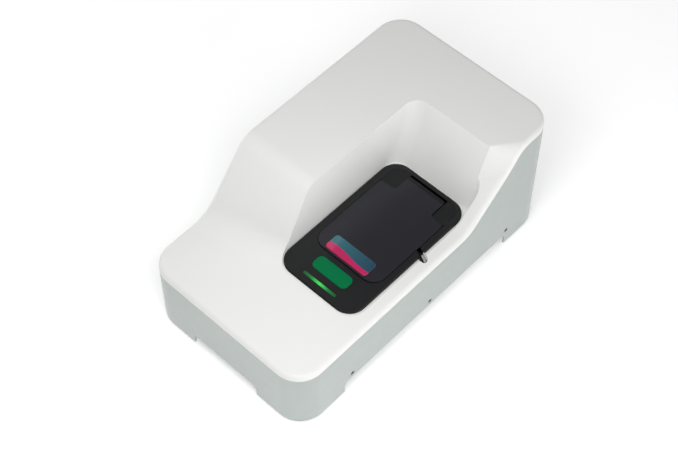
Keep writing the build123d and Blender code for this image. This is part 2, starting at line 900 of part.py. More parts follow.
with BuildPart() as button_switch:
    slab(grown((label_middle_x, label_middle_x), 3), grown((button_y, button_y), 3), (board_top, board_top + 3))
    rod((label_middle_x, button_y, board_top + 3), (0, 0, 1), 1.7, flange_low - button_travel - fit_gap - board_top - 3)
button_switch.part.label = "button_switch"
export_step(button_switch.part, "parts/button_switch.step")


def leaf(x):
    """Arched leaf spring between the board and the button, centred at x."""
    rise, half = flange_low - board_top, spring_length / 2
    with BuildSketch(Plane.XZ.offset(-(button_y - spring_width / 2))) as strip:
        with BuildLine():
            outer = ThreePointArc((x - half, board_top), (x, board_top + rise), (x + half, board_top))
            inner = ThreePointArc(
                (x + half - spring_leaf, board_top),
                (x, board_top + rise - spring_leaf),
                (x - half + spring_leaf, board_top),
            )
            Line(outer @ 1, inner @ 0)
            Line(inner @ 1, outer @ 0)
        make_face()
    return strip.sketch


with BuildPart() as button_springs:
    for side in (-1, 1):
        extrude(leaf(label_middle_x + side * button_width / 4), amount=-spring_width)
button_springs.part.label = "button_springs"
export_step(button_springs.part, "parts/button_springs.step")

with BuildPart() as light_bar:
    rounded_slab(light_x, light_span_y, (flange_under, bezel_top + light_rise), [1] * 4)
    rounded_slab(grown(light_x, 1.5), grown(light_span_y, 1.5), (flange_under - 2, flange_under), [2] * 4)
light_bar.part.label = "light_bar"
export_step(light_bar.part, "parts/light_bar.step")

# Tray under the lid, round the top of the cell block
with BuildPart() as cell_bay_tray:
    rounded_slab(
        grown(cavity_x, -fit_gap),
        (rib_y[1] + fit_gap, cavity_y[1] - fit_gap),
        (tray_shelf, tray_floor_top),
        [2, 2, cavity_round - fit_gap, cavity_round - fit_gap],
    )
    rounded_slab(
        grown((cell_x, cell_x), cell_block_size / 2 + 1),
        grown((cell_y, cell_y), cell_block_size / 2 + 1),
        (tray_shelf - 1, tray_floor_top + 1),
        [2] * 4,
        mode=Mode.SUBTRACT,
    )
cell_bay_tray.part.label = "cell_bay_tray"
export_step(cell_bay_tray.part, "parts/cell_bay_tray.step")

# Optical bench on rubber isolators
bench_low = tray_top + isolator_height
bench_top = bench_low + bench_thickness
beam_z = bench_top + beam_rise
isolator_spots = [
    (x, front + y) for x in (-bench_width / 2 + 25, bench_width / 2 - 25) for y in (bench_front + 25, bench_back - 25)
]
with BuildPart() as bench_isolators:
    for x, y in isolator_spots:
        rod((x, y, tray_top), (0, 0, 1), isolator_radius, isolator_height)
bench_isolators.part.label = "bench_isolators"
export_step(bench_isolators.part, "parts/bench_isolators.step")

with BuildPart() as optical_bench:
    slab((-bench_width / 2, bench_width / 2), (front + bench_front, front + bench_back), (bench_low, bench_top))
    chamfer(optical_bench.edges().filter_by(Axis.Z), 12)
optical_bench.part.label = "optical_bench"
export_step(optical_bench.part, "parts/optical_bench.step")

# Laser tube in two clamps, and its supply
laser_y = (front + laser_front, front + laser_front + laser_length)
with BuildPart() as laser_tube:
    rod((laser_x, laser_y[0], beam_z), (0, 1, 0), laser_radius, laser_length)
    rod((laser_x, laser_y[0] - 4, beam_z), (0, 1, 0), laser_radius * 0.4, 5)
    rod((laser_x, laser_y[0] - 5, beam_z), (0, 1, 0), beam_hole, 7, mode=Mode.SUBTRACT)
laser_tube.part.label = "laser_tube"
export_step(laser_tube.part, "parts/laser_tube.step")

clamp_wall = 5
with BuildPart() as laser_clamps:
    for y in (laser_y[0] + 50, laser_y[1] - 70):
        with BuildSketch(Plane(origin=(laser_x, y, beam_z), x_dir=(-1, 0, 0), z_dir=(0, 1, 0))):
            Circle(laser_radius + clamp_wall)
            with Locations((0, -beam_rise / 2)):
                Rectangle(2 * (laser_radius + clamp_wall), beam_rise)
            Circle(laser_radius + running_gap, mode=Mode.SUBTRACT)
        extrude(amount=clamp_length)
laser_clamps.part.label = "laser_clamps"
export_step(laser_clamps.part, "parts/laser_clamps.step")

supply_x = (left + wall + 14, left + wall + 14 + supply_size[0])
supply_y = (back - wall - 14 - supply_size[1], back - wall - 14)
with BuildPart() as laser_supply:
    slab(supply_x, supply_y, (tray_top, tray_top + supply_size[2]))
    fillet(laser_supply.edges().filter_by(Axis.Z), 3)
laser_supply.part.label = "laser_supply"
export_step(laser_supply.part, "parts/laser_supply.step")

# Mirrors that fold the beam from the laser round to the cell
mirror_spots = [
    (laser_x, front + first_mirror, (1, 1, 0)),
    (fold_x, front + first_mirror, (-1, 1, 0)),
    (fold_x, cell_y, (1, -1, 0)),
]
with BuildPart() as mirror_mounts:
    for x, y, faces_way in mirror_spots:
        away = Vector(faces_way).normalized()
        centre = Vector(x, y, beam_z) - away * mirror_thickness
        with BuildSketch(Plane(origin=centre, x_dir=(0, 0, 1), z_dir=-away)) as plate:
            RectangleRounded(mount_size, mount_size, 3)
        extrude(plate.sketch, amount=mount_thickness)
        post = centre - away * mount_thickness / 2
        rod((post.X, post.Y, bench_top), (0, 0, 1), mount_thickness / 2, beam_rise - mount_size / 2 + 1)
        rod((post.X, post.Y, bench_top), (0, 0, 1), mount_thickness, 4)
mirror_mounts.part.label = "mirror_mounts"
export_step(mirror_mounts.part, "parts/mirror_mounts.step")

with BuildPart() as steering_mirrors:
    for x, y, faces_way in mirror_spots:
        away = Vector(faces_way).normalized()
        rod(Vector(x, y, beam_z) - away * mirror_thickness, away, mirror_radius, mirror_thickness)
steering_mirrors.part.label = "steering_mirrors"
export_step(steering_mirrors.part, "parts/steering_mirrors.step")

# Shutter beside the beam between the second and third mirrors
shutter_y = front + shutter_from_front
shutter_axis = (fold_x + shutter_offset, shutter_y, bench_top + solenoid_radius)
with BuildPart() as shutter_solenoid:
    rod(shutter_axis, (0, 1, 0), solenoid_radius, solenoid_length)
    slab(
        grown((shutter_axis[0], shutter_axis[0]), solenoid_radius),
        (shutter_y, shutter_y + solenoid_length),
        (bench_top, bench_top + 3),
    )
    rod(shutter_axis, (0, -1, 0), shaft_radius, 5)
shutter_solenoid.part.label = "shutter_solenoid"
export_step(shutter_solenoid.part, "parts/shutter_solenoid.step")

with BuildPart() as shutter_flag:
    with BuildSketch(Plane(origin=(shutter_axis[0], shutter_y - 1, shutter_axis[2]), x_dir=(1, 0, 0), z_dir=(0, -1, 0))):
        Circle(5)
        with Locations((0, flag_length / 2)):
            Rectangle(5, flag_length)
        with Locations((0, flag_length)):
            RectangleRounded(12, 14, 3)
        Circle(shaft_radius + running_gap, mode=Mode.SUBTRACT)
    extrude(amount=2)
shutter_flag.part.label = "shutter_flag"
export_step(shutter_flag.part, "parts/shutter_flag.step")


def motor(face, way, size, length, shaft_length, foot_z):
    """Square stepping motor whose front face is at a point, standing on a foot."""
    face, way = Vector(face), Vector(way)
    with BuildSketch(Plane(origin=face, x_dir=(0, 1, 0), z_dir=-way)) as body:
        RectangleRounded(size, size, 3)
    extrude(body.sketch, amount=length)
    rod(face, way, shaft_radius, shaft_length)
    middle = face - way * length / 2
    slab(grown((middle.X, middle.X), length / 2), grown((middle.Y, middle.Y), size / 2), (foot_z, face.Z))


def wheel(centre, radius, hole_circle, hole_radius, thickness):
    """Filter wheel on a hub along X, with a ring of round holes."""
    with BuildSketch(Plane(origin=centre, x_dir=(0, 1, 0), z_dir=(1, 0, 0))) as disc:
        Circle(radius)
        with PolarLocations(hole_circle, wheel_holes):
            Circle(hole_radius, mode=Mode.SUBTRACT)
    extrude(disc.sketch, amount=thickness)
    rod(centre, (1, 0, 0), shaft_radius + 3, thickness + hub_length)
    rod(Vector(centre) - Vector(1, 0, 0), (1, 0, 0), shaft_radius + running_gap, thickness + hub_length + 2, mode=Mode.SUBTRACT)


attenuator_axis = (attenuator_x, cell_y + attenuator_circle, beam_z)
with BuildPart() as attenuator_wheel:
    wheel(attenuator_axis, attenuator_radius, attenuator_circle, 4, 2)
attenuator_wheel.part.label = "attenuator_wheel"
export_step(attenuator_wheel.part, "parts/attenuator_wheel.step")

motor_face_x = attenuator_x + 2 + hub_length + 1
with BuildPart() as attenuator_motor:
    motor(
        (motor_face_x, attenuator_axis[1], beam_z), (-1, 0, 0), motor_size, motor_length, hub_length + 3, bench_top
    )
attenuator_motor.part.label = "attenuator_motor"
export_step(attenuator_motor.part, "parts/attenuator_motor.step")

# Measuring lens: frame with guide rails, lead screw with its motor, carriage and lens
rail_z = bench_top + rail_rise
frame_y = grown((cell_y, cell_y), frame_width / 2)
end_plate = 6
stop_x = (lens_rest_x - lens_travel - carriage_length / 2 - 1, lens_rest_x + carriage_length / 2 + 1)
splitter_x = stop_x[0] - end_plate / 2
rail_spots = [cell_y - rail_half, cell_y + rail_half]
with BuildPart() as lens_frame:
    slab((stop_x[0] - end_plate, stop_x[1] + end_plate / 2), frame_y, (bench_top, bench_top + frame_base))
    slab((stop_x[0] - end_plate, stop_x[0]), frame_y, (bench_top, rail_z + 7))
    slab((stop_x[1], stop_x[1] + end_plate / 2), frame_y, (bench_top, rail_z + 7))
    for y in rail_spots:
        rod((stop_x[0] - end_plate / 2, y, rail_z), (1, 0, 0), rail_radius, stop_x[1] - stop_x[0] + end_plate)
    rod(
        (stop_x[0] - end_plate - 1, cell_y, rail_z),
        (1, 0, 0),
        rail_radius + running_gap,
        stop_x[1] - stop_x[0] + 2 * end_plate,
        mode=Mode.SUBTRACT,
    )
lens_frame.part.label = "lens_frame"
export_step(lens_frame.part, "parts/lens_frame.step")

with BuildPart() as lead_screw:
    rod((stop_x[0] - end_plate - 6, cell_y, rail_z), (1, 0, 0), rail_radius, stop_x[1] - stop_x[0] + 1.5 * end_plate + 6)
    rod((stop_x[0] - end_plate - 4, cell_y, rail_z), (1, 0, 0), rail_radius + 2, 3)
lead_screw.part.label = "lead_screw"
export_step(lead_screw.part, "parts/lead_screw.step")

lens_motor_face = stop_x[0] - end_plate - 6 - fit_gap
with BuildPart() as lens_motor:
    motor((lens_motor_face, cell_y, rail_z), (1, 0, 0), lens_motor_size, lens_motor_length, 0.2, bench_top)
lens_motor.part.label = "lens_motor"
export_step(lens_motor.part, "parts/lens_motor.step")

carriage_x = grown((lens_rest_x, lens_rest_x), carriage_length / 2)
carriage_low = bench_top + frame_base + 1
with BuildPart() as lens_carriage:
    slab(carriage_x, grown((cell_y, cell_y), carriage_width / 2), (carriage_low, beam_z + lens_radius + 4))
    fillet(lens_carriage.faces().sort_by(Axis.Z)[-1].edges().filter_by(Axis.X), 12)
    for y in [*rail_spots, cell_y]:
        rod((carriage_x[0] - 1, y, rail_z), (1, 0, 0), rail_radius + running_gap, carriage_length + 2, mode=Mode.SUBTRACT)
    rod((carriage_x[0] - 1, cell_y, beam_z), (1, 0, 0), lens_radius + 0.1, carriage_length - 3, mode=Mode.SUBTRACT)
    rod((carriage_x[0] - 1, cell_y, beam_z), (1, 0, 0), lens_radius - 1.5, carriage_length + 2, mode=Mode.SUBTRACT)
lens_carriage.part.label = "lens_carriage"
export_step(lens_carriage.part, "parts/lens_carriage.step")

lens_back = carriage_x[1] - 4
lens_curve = (lens_radius**2 + lens_bulge**2) / (2 * lens_bulge)
half_turn = math.asin(lens_radius / lens_curve) / 2
lens_apex = lens_back - lens_bulge
lens_middle = (lens_apex + lens_curve * (1 - math.cos(half_turn)), lens_curve * math.sin(half_turn))
with BuildPart() as measuring_lens:
    with BuildSketch(Plane(origin=(0, cell_y, beam_z), x_dir=(1, 0, 0), z_dir=(0, 0, 1))):
        with BuildLine():
            ThreePointArc((lens_apex, 0), lens_middle, (lens_back, lens_radius))
            Polyline((lens_back, lens_radius), (lens_back, 0), (lens_apex, 0))
        make_face()
    revolve(axis=Axis((0, cell_y, beam_z), (1, 0, 0)))
measuring_lens.part.label = "measuring_lens"
export_step(measuring_lens.part, "parts/measuring_lens.step")

# Beam splitter in a cradle on the frame's end plate
cradle_low = rail_z + 7
with BuildPart() as splitter_mount:
    slab(
        (stop_x[0] - end_plate, stop_x[0]),
        grown((cell_y, cell_y), splitter_size / 2 + 3),
        (cradle_low, beam_z + splitter_size / 4),
    )
    slab(
        (stop_x[0] - end_plate - 1, stop_x[0] + 1),
        grown((cell_y, cell_y), splitter_size / 2 + 0.05),
        (beam_z - splitter_size / 2, beam_z + splitter_size),
        mode=Mode.SUBTRACT,
    )
splitter_mount.part.label = "splitter_mount"
export_step(splitter_mount.part, "parts/splitter_mount.step")

with BuildPart() as beam_splitter:
    with Locations((splitter_x - splitter_size / 2 + end_plate / 2, cell_y, beam_z)):
        Box(splitter_size, splitter_size, splitter_size)
    chamfer(beam_splitter.edges(), 0.5)
beam_splitter.part.label = "beam_splitter"
export_step(beam_splitter.part, "parts/beam_splitter.step")

# Cell block with its square pocket, beam holes and finger slots
pocket_low = beam_z - cell_beam_height
block_top = tray_floor_top + 2
block_x = grown((cell_x, cell_x), cell_block_size / 2)
block_y = grown((cell_y, cell_y), cell_block_size / 2)
with BuildPart() as cell_block:
    slab(block_x, block_y, (bench_top, block_top))
    slab(
        grown((cell_x, cell_x), pocket_width / 2),
        grown((cell_y, cell_y), pocket_width / 2),
        (pocket_low, block_top + 1),
        mode=Mode.SUBTRACT,
    )
    slab(
        grown((cell_x, cell_x), pocket_width / 2),
        grown((cell_y, cell_y), finger_length / 2),
        (block_top - finger_depth, block_top + 1),
        mode=Mode.SUBTRACT,
    )
    rod((block_x[0] - 1, cell_y, beam_z), (1, 0, 0), beam_hole, cell_block_size + 2, mode=Mode.SUBTRACT)
    rod((cell_x, block_y[0] - 1, beam_z), (0, 1, 0), beam_hole, cell_block_size / 2 + 1, mode=Mode.SUBTRACT)
    chamfer(cell_block.edges().filter_by(Axis.Z).filter_by(lambda e: abs(e.center().X - cell_x) > 20), 2)
cell_block.part.label = "cell_block"
export_step(cell_block.part, "parts/cell_block.step")

module_z = grown((beam_z, beam_z), module_size / 2)
module_y = (block_y[1], block_y[1] + module_thickness)
with BuildPart() as thermoelectric_module:
    slab(grown((cell_x, cell_x), module_size / 2), module_y, module_z)
thermoelectric_module.part.label = "thermoelectric_module"
export_step(thermoelectric_module.part, "parts/thermoelectric_module.step")

sink_y = (module_y[1], module_y[1] + sink_depth)
with BuildPart() as heat_sink:
    slab(grown((cell_x, cell_x), sink_width / 2), (sink_y[0], sink_y[0] + sink_base), (bench_top, module_z[1]))
    with Locations((cell_x, (sink_y[0] + sink_y[1]) / 2, (bench_top + module_z[1]) / 2)):
        with GridLocations((sink_width - sink_fin) / (sink_fins - 1), 1, sink_fins, 1):
            Box(sink_fin, sink_depth, module_z[1] - bench_top)
heat_sink.part.label = "heat_sink"
export_step(heat_sink.part, "parts/heat_sink.step")

# Detectors, each a boxed module with a nose that looks along X
with BuildPart() as forward_detector:
    slab((forward_x, forward_x + detector_size[0]), grown((cell_y, cell_y), detector_size[1] / 2), (bench_top, beam_z + 14))
    fillet(forward_detector.edges().filter_by(Axis.Z), 2)
    rod((forward_x, cell_y, beam_z), (-1, 0, 0), nose_radius, 10)
forward_detector.part.label = "forward_detector"
export_step(forward_detector.part, "parts/forward_detector.step")

filter_y = front + filter_from_front
filter_z = bench_top + filter_rise
with BuildPart() as back_detector:
    slab((filter_x - 44, filter_x - 14), grown((filter_y, filter_y), 20), (bench_top, filter_z + 14))
    fillet(back_detector.edges().filter_by(Axis.Z), 2)
    rod((filter_x - 14, filter_y, filter_z), (1, 0, 0), nose_radius, 12)
back_detector.part.label = "back_detector"
export_step(back_detector.part, "parts/back_detector.step")

filter_axis = (filter_x, filter_y + filter_circle, filter_z)
with BuildPart() as filter_wheel:
    wheel(filter_axis, filter_radius, filter_circle, 3, 2)
filter_wheel.part.label = "filter_wheel"
export_step(filter_wheel.part, "parts/filter_wheel.step")

with BuildPart() as filter_motor:
    motor(
        (filter_x + 2 + hub_length + 1, filter_axis[1], filter_z), (-1, 0, 0), motor_size, motor_length, hub_length + 3, bench_top
    )
filter_motor.part.label = "filter_motor"
export_step(filter_motor.part, "parts/filter_motor.step")

# Electronics shelf over the laser, with the main board and its parts
shelf_x = (-bench_width / 2 + 2, shelf_right)
shelf_y = (front + shelf_front, front + shelf_back)
with BuildPart() as electronics_shelf:
    slab(shelf_x, shelf_y, (bench_top, shelf_height))
    slab(grown(shelf_x, -sheet), grown(shelf_y, 1), (bench_top - 1, shelf_height - sheet), mode=Mode.SUBTRACT)
    slab(grown(shelf_x, 1), grown(shelf_y, -shelf_leg), (bench_top - 1, shelf_height - 12), mode=Mode.SUBTRACT)
electronics_shelf.part.label = "electronics_shelf"
export_step(electronics_shelf.part, "parts/electronics_shelf.step")

main_low = shelf_height + standoff
main_x, main_y = grown(shelf_x, -6), grown(shelf_y, -8)
standoff_spots = [(x, y) for x in grown(main_x, -6) for y in grown(main_y, -6)]
with BuildPart() as main_board:
    slab(main_x, main_y, (main_low, main_low + board_thickness))
    for x, y in standoff_spots:
        rod((x, y, main_low - 1), (0, 0, 1), 1.5, board_thickness + 2, mode=Mode.SUBTRACT)
main_board.part.label = "main_board"
export_step(main_board.part, "parts/main_board.step")

with BuildPart() as board_standoffs:
    for x, y in standoff_spots:
        rod((x, y, shelf_height), (0, 0, 1), 3, standoff)
        rod((x, y, main_low), (0, 0, 1), 1.4, board_thickness)
        rod((x, y, main_low + board_thickness), (0, 0, 1), 2.6, 1.6)
board_standoffs.part.label = "board_standoffs"
export_step(board_standoffs.part, "parts/board_standoffs.step")

parts_z = main_low + board_thickness
parts_x, parts_y = sum(main_x) / 2, sum(main_y) / 2
with BuildPart() as board_parts:
    with Locations((parts_x, parts_y, parts_z + 1.5)):
        Box(28, 28, 3)
    with Locations((parts_x - 28, parts_y - 50, parts_z + 7)):
        with GridLocations(22, 22, 2, 2):
            Cylinder(7, 14)
    with Locations((parts_x + 20, parts_y + 60, parts_z + 6)):
        Box(40, 20, 12)
    with Locations((parts_x, main_y[0] + 8, parts_z + 4)):
        Box(60, 8, 8)
board_parts.part.label = "board_parts"
export_step(board_parts.part, "parts/board_parts.step")

# Rear panel with fan slots and socket holes, seen through the skirt's rear opening
panel_y = back - wall
panel_inner = panel_y - panel_thickness


def rear_plane(x, z):
    """Plane on the panel's outer face, looking out of the back."""
    return Plane(origin=(x, panel_y, z), x_dir=(-1, 0, 0), z_dir=(0, 1, 0))


with BuildPart() as rear_panel:
    slab(panel_x, (panel_inner, panel_y), panel_z)
    with BuildSketch(rear_plane(fan_x, fan_z)):
        for ring in reversed(range(slot_rings)):
            Circle(slot_first + ring * slot_pitch)
            Circle(slot_first + ring * slot_pitch - slot_height, mode=Mode.SUBTRACT)
        for turn in (45, 135):
            Rectangle(fan_size * 2, slot_web, rotation=turn, mode=Mode.SUBTRACT)
    with BuildSketch(rear_plane(inlet_x, socket_z)):
        Circle(inlet_radius + running_gap)
    with BuildSketch(rear_plane(data_x, socket_z)):
        Rectangle(data_size + 2 * running_gap, data_size + 2 * running_gap)
    with BuildSketch(rear_plane(switch_x, socket_z)):
        Rectangle(switch_width + 2 * running_gap, switch_height + 2 * running_gap)
    with BuildSketch(rear_plane(purge_x, purge_z)):
        Circle(purge_radius + running_gap)
    extrude(amount=-2 * panel_thickness, mode=Mode.SUBTRACT)
    for x, z in panel_screw_spots:
        rod((x, panel_y, z), (0, -1, 0), screw_radius, 2 * panel_thickness, mode=Mode.SUBTRACT)
rear_panel.part.label = "rear_panel"
export_step(rear_panel.part, "parts/rear_panel.step")

with BuildPart() as panel_screws:
    for x, z in panel_screw_spots:
        screw((x, back - screw_head_height, z), (0, -1, 0), wall + panel_thickness)
panel_screws.part.label = "panel_screws"
export_step(panel_screws.part, "parts/panel_screws.step")

# Fan: square frame with a strutted hub, and a bladed rotor on its spindle
fan_low = panel_inner - fan_depth
strut = 4
spindle_length = 10
with BuildPart() as fan_frame:
    with BuildSketch(rear_plane(fan_x, fan_z).offset(-panel_thickness)):
        RectangleRounded(fan_size, fan_size, 5)
        Circle(fan_bore, mode=Mode.SUBTRACT)
    extrude(amount=-fan_depth)
    with BuildSketch(rear_plane(fan_x, fan_z).offset(-panel_thickness - fan_depth)):
        Circle(rotor_hub + 1)
        for turn in (0, 90):
            Rectangle(fan_bore * 2 + 1, strut, rotation=turn)
    extrude(amount=strut)
    rod((fan_x, fan_low + strut, fan_z), (0, 1, 0), shaft_radius, spindle_length)
fan_frame.part.label = "fan_frame"
export_step(fan_frame.part, "parts/fan_frame.step")

rotor_y = (fan_low + strut + 0.5, panel_inner - 3)
rotor_middle = sum(rotor_y) / 2
blade_span = rotor_radius - rotor_hub + 1
with BuildPart() as fan_rotor:
    rod((fan_x, rotor_y[0], fan_z), (0, 1, 0), rotor_hub, rotor_y[1] - rotor_y[0])
    rod((fan_x, rotor_y[0] - 1, fan_z), (0, 1, 0), shaft_radius + running_gap, spindle_length + 1, mode=Mode.SUBTRACT)
    with Locations(Plane(origin=(fan_x, rotor_middle, fan_z), z_dir=(0, 1, 0))):
        with PolarLocations((rotor_hub + rotor_radius - 1) / 2, rotor_blades):
            Box(blade_span, rotor_y[1] - rotor_y[0] - 3, 1.6, rotation=(90 - blade_pitch, 0, 0))
fan_rotor.part.label = "fan_rotor"
export_step(fan_rotor.part, "parts/fan_rotor.step")

# Power inlet: round socket with a centre pin
inlet_bore = 3.2
with BuildPart() as power_inlet:
    rod((inlet_x, panel_y + fitting_flange, socket_z), (0, -1, 0), inlet_radius, inlet_depth + fitting_flange)
    rod((inlet_x, panel_y, socket_z), (0, 1, 0), inlet_radius + 1.5, fitting_flange)
    rod((inlet_x, panel_y + fitting_flange, socket_z), (0, -1, 0), inlet_bore, 9, mode=Mode.SUBTRACT)
    rod((inlet_x, panel_y - 8, socket_z), (0, 1, 0), 1, 8)
power_inlet.part.label = "power_inlet"
export_step(power_inlet.part, "parts/power_inlet.step")

# Data socket: square shell with a tongue
with BuildPart() as data_socket:
    with BuildSketch(rear_plane(data_x, socket_z)):
        Rectangle(data_size, data_size)
    extrude(amount=-inlet_depth)
    with BuildSketch(rear_plane(data_x, socket_z)):
        RectangleRounded(data_size + 4, data_size + 4, 1)
    extrude(amount=fitting_flange)
    with BuildSketch(rear_plane(data_x, socket_z).offset(fitting_flange)):
        Rectangle(8.4, 7.8)
        Rectangle(5.6, 3.2, mode=Mode.SUBTRACT)
    extrude(amount=-9, mode=Mode.SUBTRACT)
data_socket.part.label = "data_socket"
export_step(data_socket.part, "parts/data_socket.step")

# Power switch: frame and tilting rocker on two pivots
rocker_y = panel_y - 0.5
rocker_open = (rocker_length + 2, rocker_width + 2 * fit_gap)
pivot_radius = 1
with BuildPart() as switch_frame:
    with BuildSketch(rear_plane(switch_x, socket_z)):
        Rectangle(switch_width, switch_height)
    extrude(amount=-16)
    with BuildSketch(rear_plane(switch_x, socket_z)):
        RectangleRounded(switch_width + 3, switch_height + 3, 1)
    extrude(amount=fitting_flange)
    with BuildSketch(rear_plane(switch_x, socket_z).offset(fitting_flange)):
        Rectangle(*rocker_open)
    extrude(amount=-10, mode=Mode.SUBTRACT)
    rod(
        (switch_x, rocker_y, socket_z - switch_height / 2 + 0.2),
        (0, 0, 1),
        pivot_radius + running_gap,
        switch_height - 0.4,
        mode=Mode.SUBTRACT,
    )
switch_frame.part.label = "switch_frame"
export_step(switch_frame.part, "parts/switch_frame.step")

with BuildPart() as power_rocker:
    with BuildSketch(Plane.XY.offset(socket_z - rocker_width / 2)) as rocker_side:
        with BuildLine():
            half = rocker_length / 2
            Polyline(
                (-half, -3), (0, -4), (half, -3), (half, 1.6), (0, 1.2), (-half, 1.6), (-half, -3)
            )
        make_face()
    extrude(amount=rocker_width)
    rod((0, 0, socket_z - rocker_width / 2 - 1), (0, 0, 1), pivot_radius, rocker_width + 2)
power_rocker.part = Pos(switch_x, rocker_y, 0) * Rot(0, 0, -rocker_tilt / 2) * power_rocker.part
power_rocker.part.label = "power_rocker"
export_step(power_rocker.part, "parts/power_rocker.step")

# Purge gas port: push-in fitting with a collar inside the rear recess
with BuildPart() as purge_port:
    rod((purge_x, panel_y, purge_z), (0, -1, 0), purge_radius, purge_depth + 3)
    rod((purge_x, panel_y, purge_z), (0, 1, 0), purge_radius + 2, fitting_flange)
    rod((purge_x, panel_y + fitting_flange, purge_z), (0, -1, 0), purge_bore, purge_depth, mode=Mode.SUBTRACT)
purge_port.part.label = "purge_port"
export_step(purge_port.part, "parts/purge_port.step")
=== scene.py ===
"""Looks of a benchtop particle size analyzer: studio, finishes and finer forms of its pieces."""

import json
import logging
import math
from dataclasses import asdict, dataclass, field
from enum import Enum
from typing import Sequence

import bmesh
import bpy
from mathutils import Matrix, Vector


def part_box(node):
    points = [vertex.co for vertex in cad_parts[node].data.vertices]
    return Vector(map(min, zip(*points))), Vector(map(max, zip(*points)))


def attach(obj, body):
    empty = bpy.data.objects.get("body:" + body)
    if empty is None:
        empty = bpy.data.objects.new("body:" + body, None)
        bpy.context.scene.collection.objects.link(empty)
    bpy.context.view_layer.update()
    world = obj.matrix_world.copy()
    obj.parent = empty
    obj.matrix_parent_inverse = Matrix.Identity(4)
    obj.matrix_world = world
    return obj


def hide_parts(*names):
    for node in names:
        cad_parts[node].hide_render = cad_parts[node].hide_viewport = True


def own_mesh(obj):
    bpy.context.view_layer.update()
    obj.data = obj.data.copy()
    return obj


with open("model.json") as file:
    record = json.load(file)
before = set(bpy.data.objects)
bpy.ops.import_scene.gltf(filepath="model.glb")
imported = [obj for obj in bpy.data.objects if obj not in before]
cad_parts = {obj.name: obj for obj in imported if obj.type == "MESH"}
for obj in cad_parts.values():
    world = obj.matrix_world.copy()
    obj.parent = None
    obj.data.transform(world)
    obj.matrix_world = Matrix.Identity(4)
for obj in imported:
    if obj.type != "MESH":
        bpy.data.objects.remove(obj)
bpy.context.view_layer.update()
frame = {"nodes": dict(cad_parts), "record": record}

MM = 0.001
LOG = logging.getLogger("analyzer")
Triple = tuple[float, float, float]
Colour = tuple[float, float, float, float]
Socket = bpy.types.NodeSocket
Material = bpy.types.Material
Piece = bpy.types.Object
Value = Socket | float | str | Triple | Colour | Material
# Near-black colour of the painted shade in gaps and slots
PAINTED_SHADE_COLOUR: Colour = (0.0006, 0.0006, 0.0007, 1.0)


def tone(red: float, green: float, blue: float) -> Colour:
    """Gives a display colour of 0 to 255 a channel as scene light.

    Args:
        red: Red channel, 0 to 255.
        green: Green channel, 0 to 255.
        blue: Blue channel, 0 to 255.

    Returns:
        The colour as linear red, green, blue and alpha.
    """
    linear = []
    for channel in (red, green, blue):
        share = channel / 255
        linear.append(share / 12.92 if share <= 0.04045 else ((share + 0.055) / 1.055) ** 2.4)
    return (linear[0], linear[1], linear[2], 1.0)


def shaded(colour: Colour, share: float) -> Colour:
    """Gives a share of a colour's light.

    Args:
        colour: Linear colour with alpha.
        share: Factor on each channel, over 1 for a lighter colour.

    Returns:
        The changed colour, opaque.
    """
    red, green, blue = (min(channel * share, 1.0) for channel in colour[:3])
    return (red, green, blue, 1.0)


class Axis(Enum):
    """Direction that brushing runs along."""

    X = 0
    Y = 1


class Nodes:
    """A pen that draws in a node tree."""

    def __init__(self, tree: bpy.types.NodeTree) -> None:
        """Takes up a tree."""
        self.tree = tree
        self.named: dict[str, Socket] = {}

    def feed(self, value: Value, target: Socket) -> None:
        """Gives an input what it takes.

        Args:
            value: An output, the name of a named one, or a plain value.
            target: The input.
        """
        if isinstance(value, str):
            value = self.named.get(value, value)
        if isinstance(value, Socket):
            self.tree.links.new(value, target)
        else:
            target.default_value = value

    def add(
        self, kind: str, links: dict[str | int, Value] | None = None, **values: object
    ) -> bpy.types.Node:
        """Adds a node.

        Args:
            kind: Type name of the node.
            links: What each input takes, by name or number.
            **values: Properties to set on the node.

        Returns:
            The new node.
        """
        node = self.tree.nodes.new(kind)
        for key, value in values.items():
            setattr(node, key, value)
        for key, value in (links or {}).items():
            self.feed(value, node.inputs[key])
        return node

    def sum(self, operation: str, *values: Value) -> Socket:
        """Works out one sum."""
        return self.add("ShaderNodeMath", dict(enumerate(values)), operation=operation).outputs[0]

    def split(self, vector: Socket) -> tuple[Socket, ...]:
        """Parts a vector into x, y and z."""
        return tuple(self.add("ShaderNodeSeparateXYZ", {"Vector": vector}).outputs)


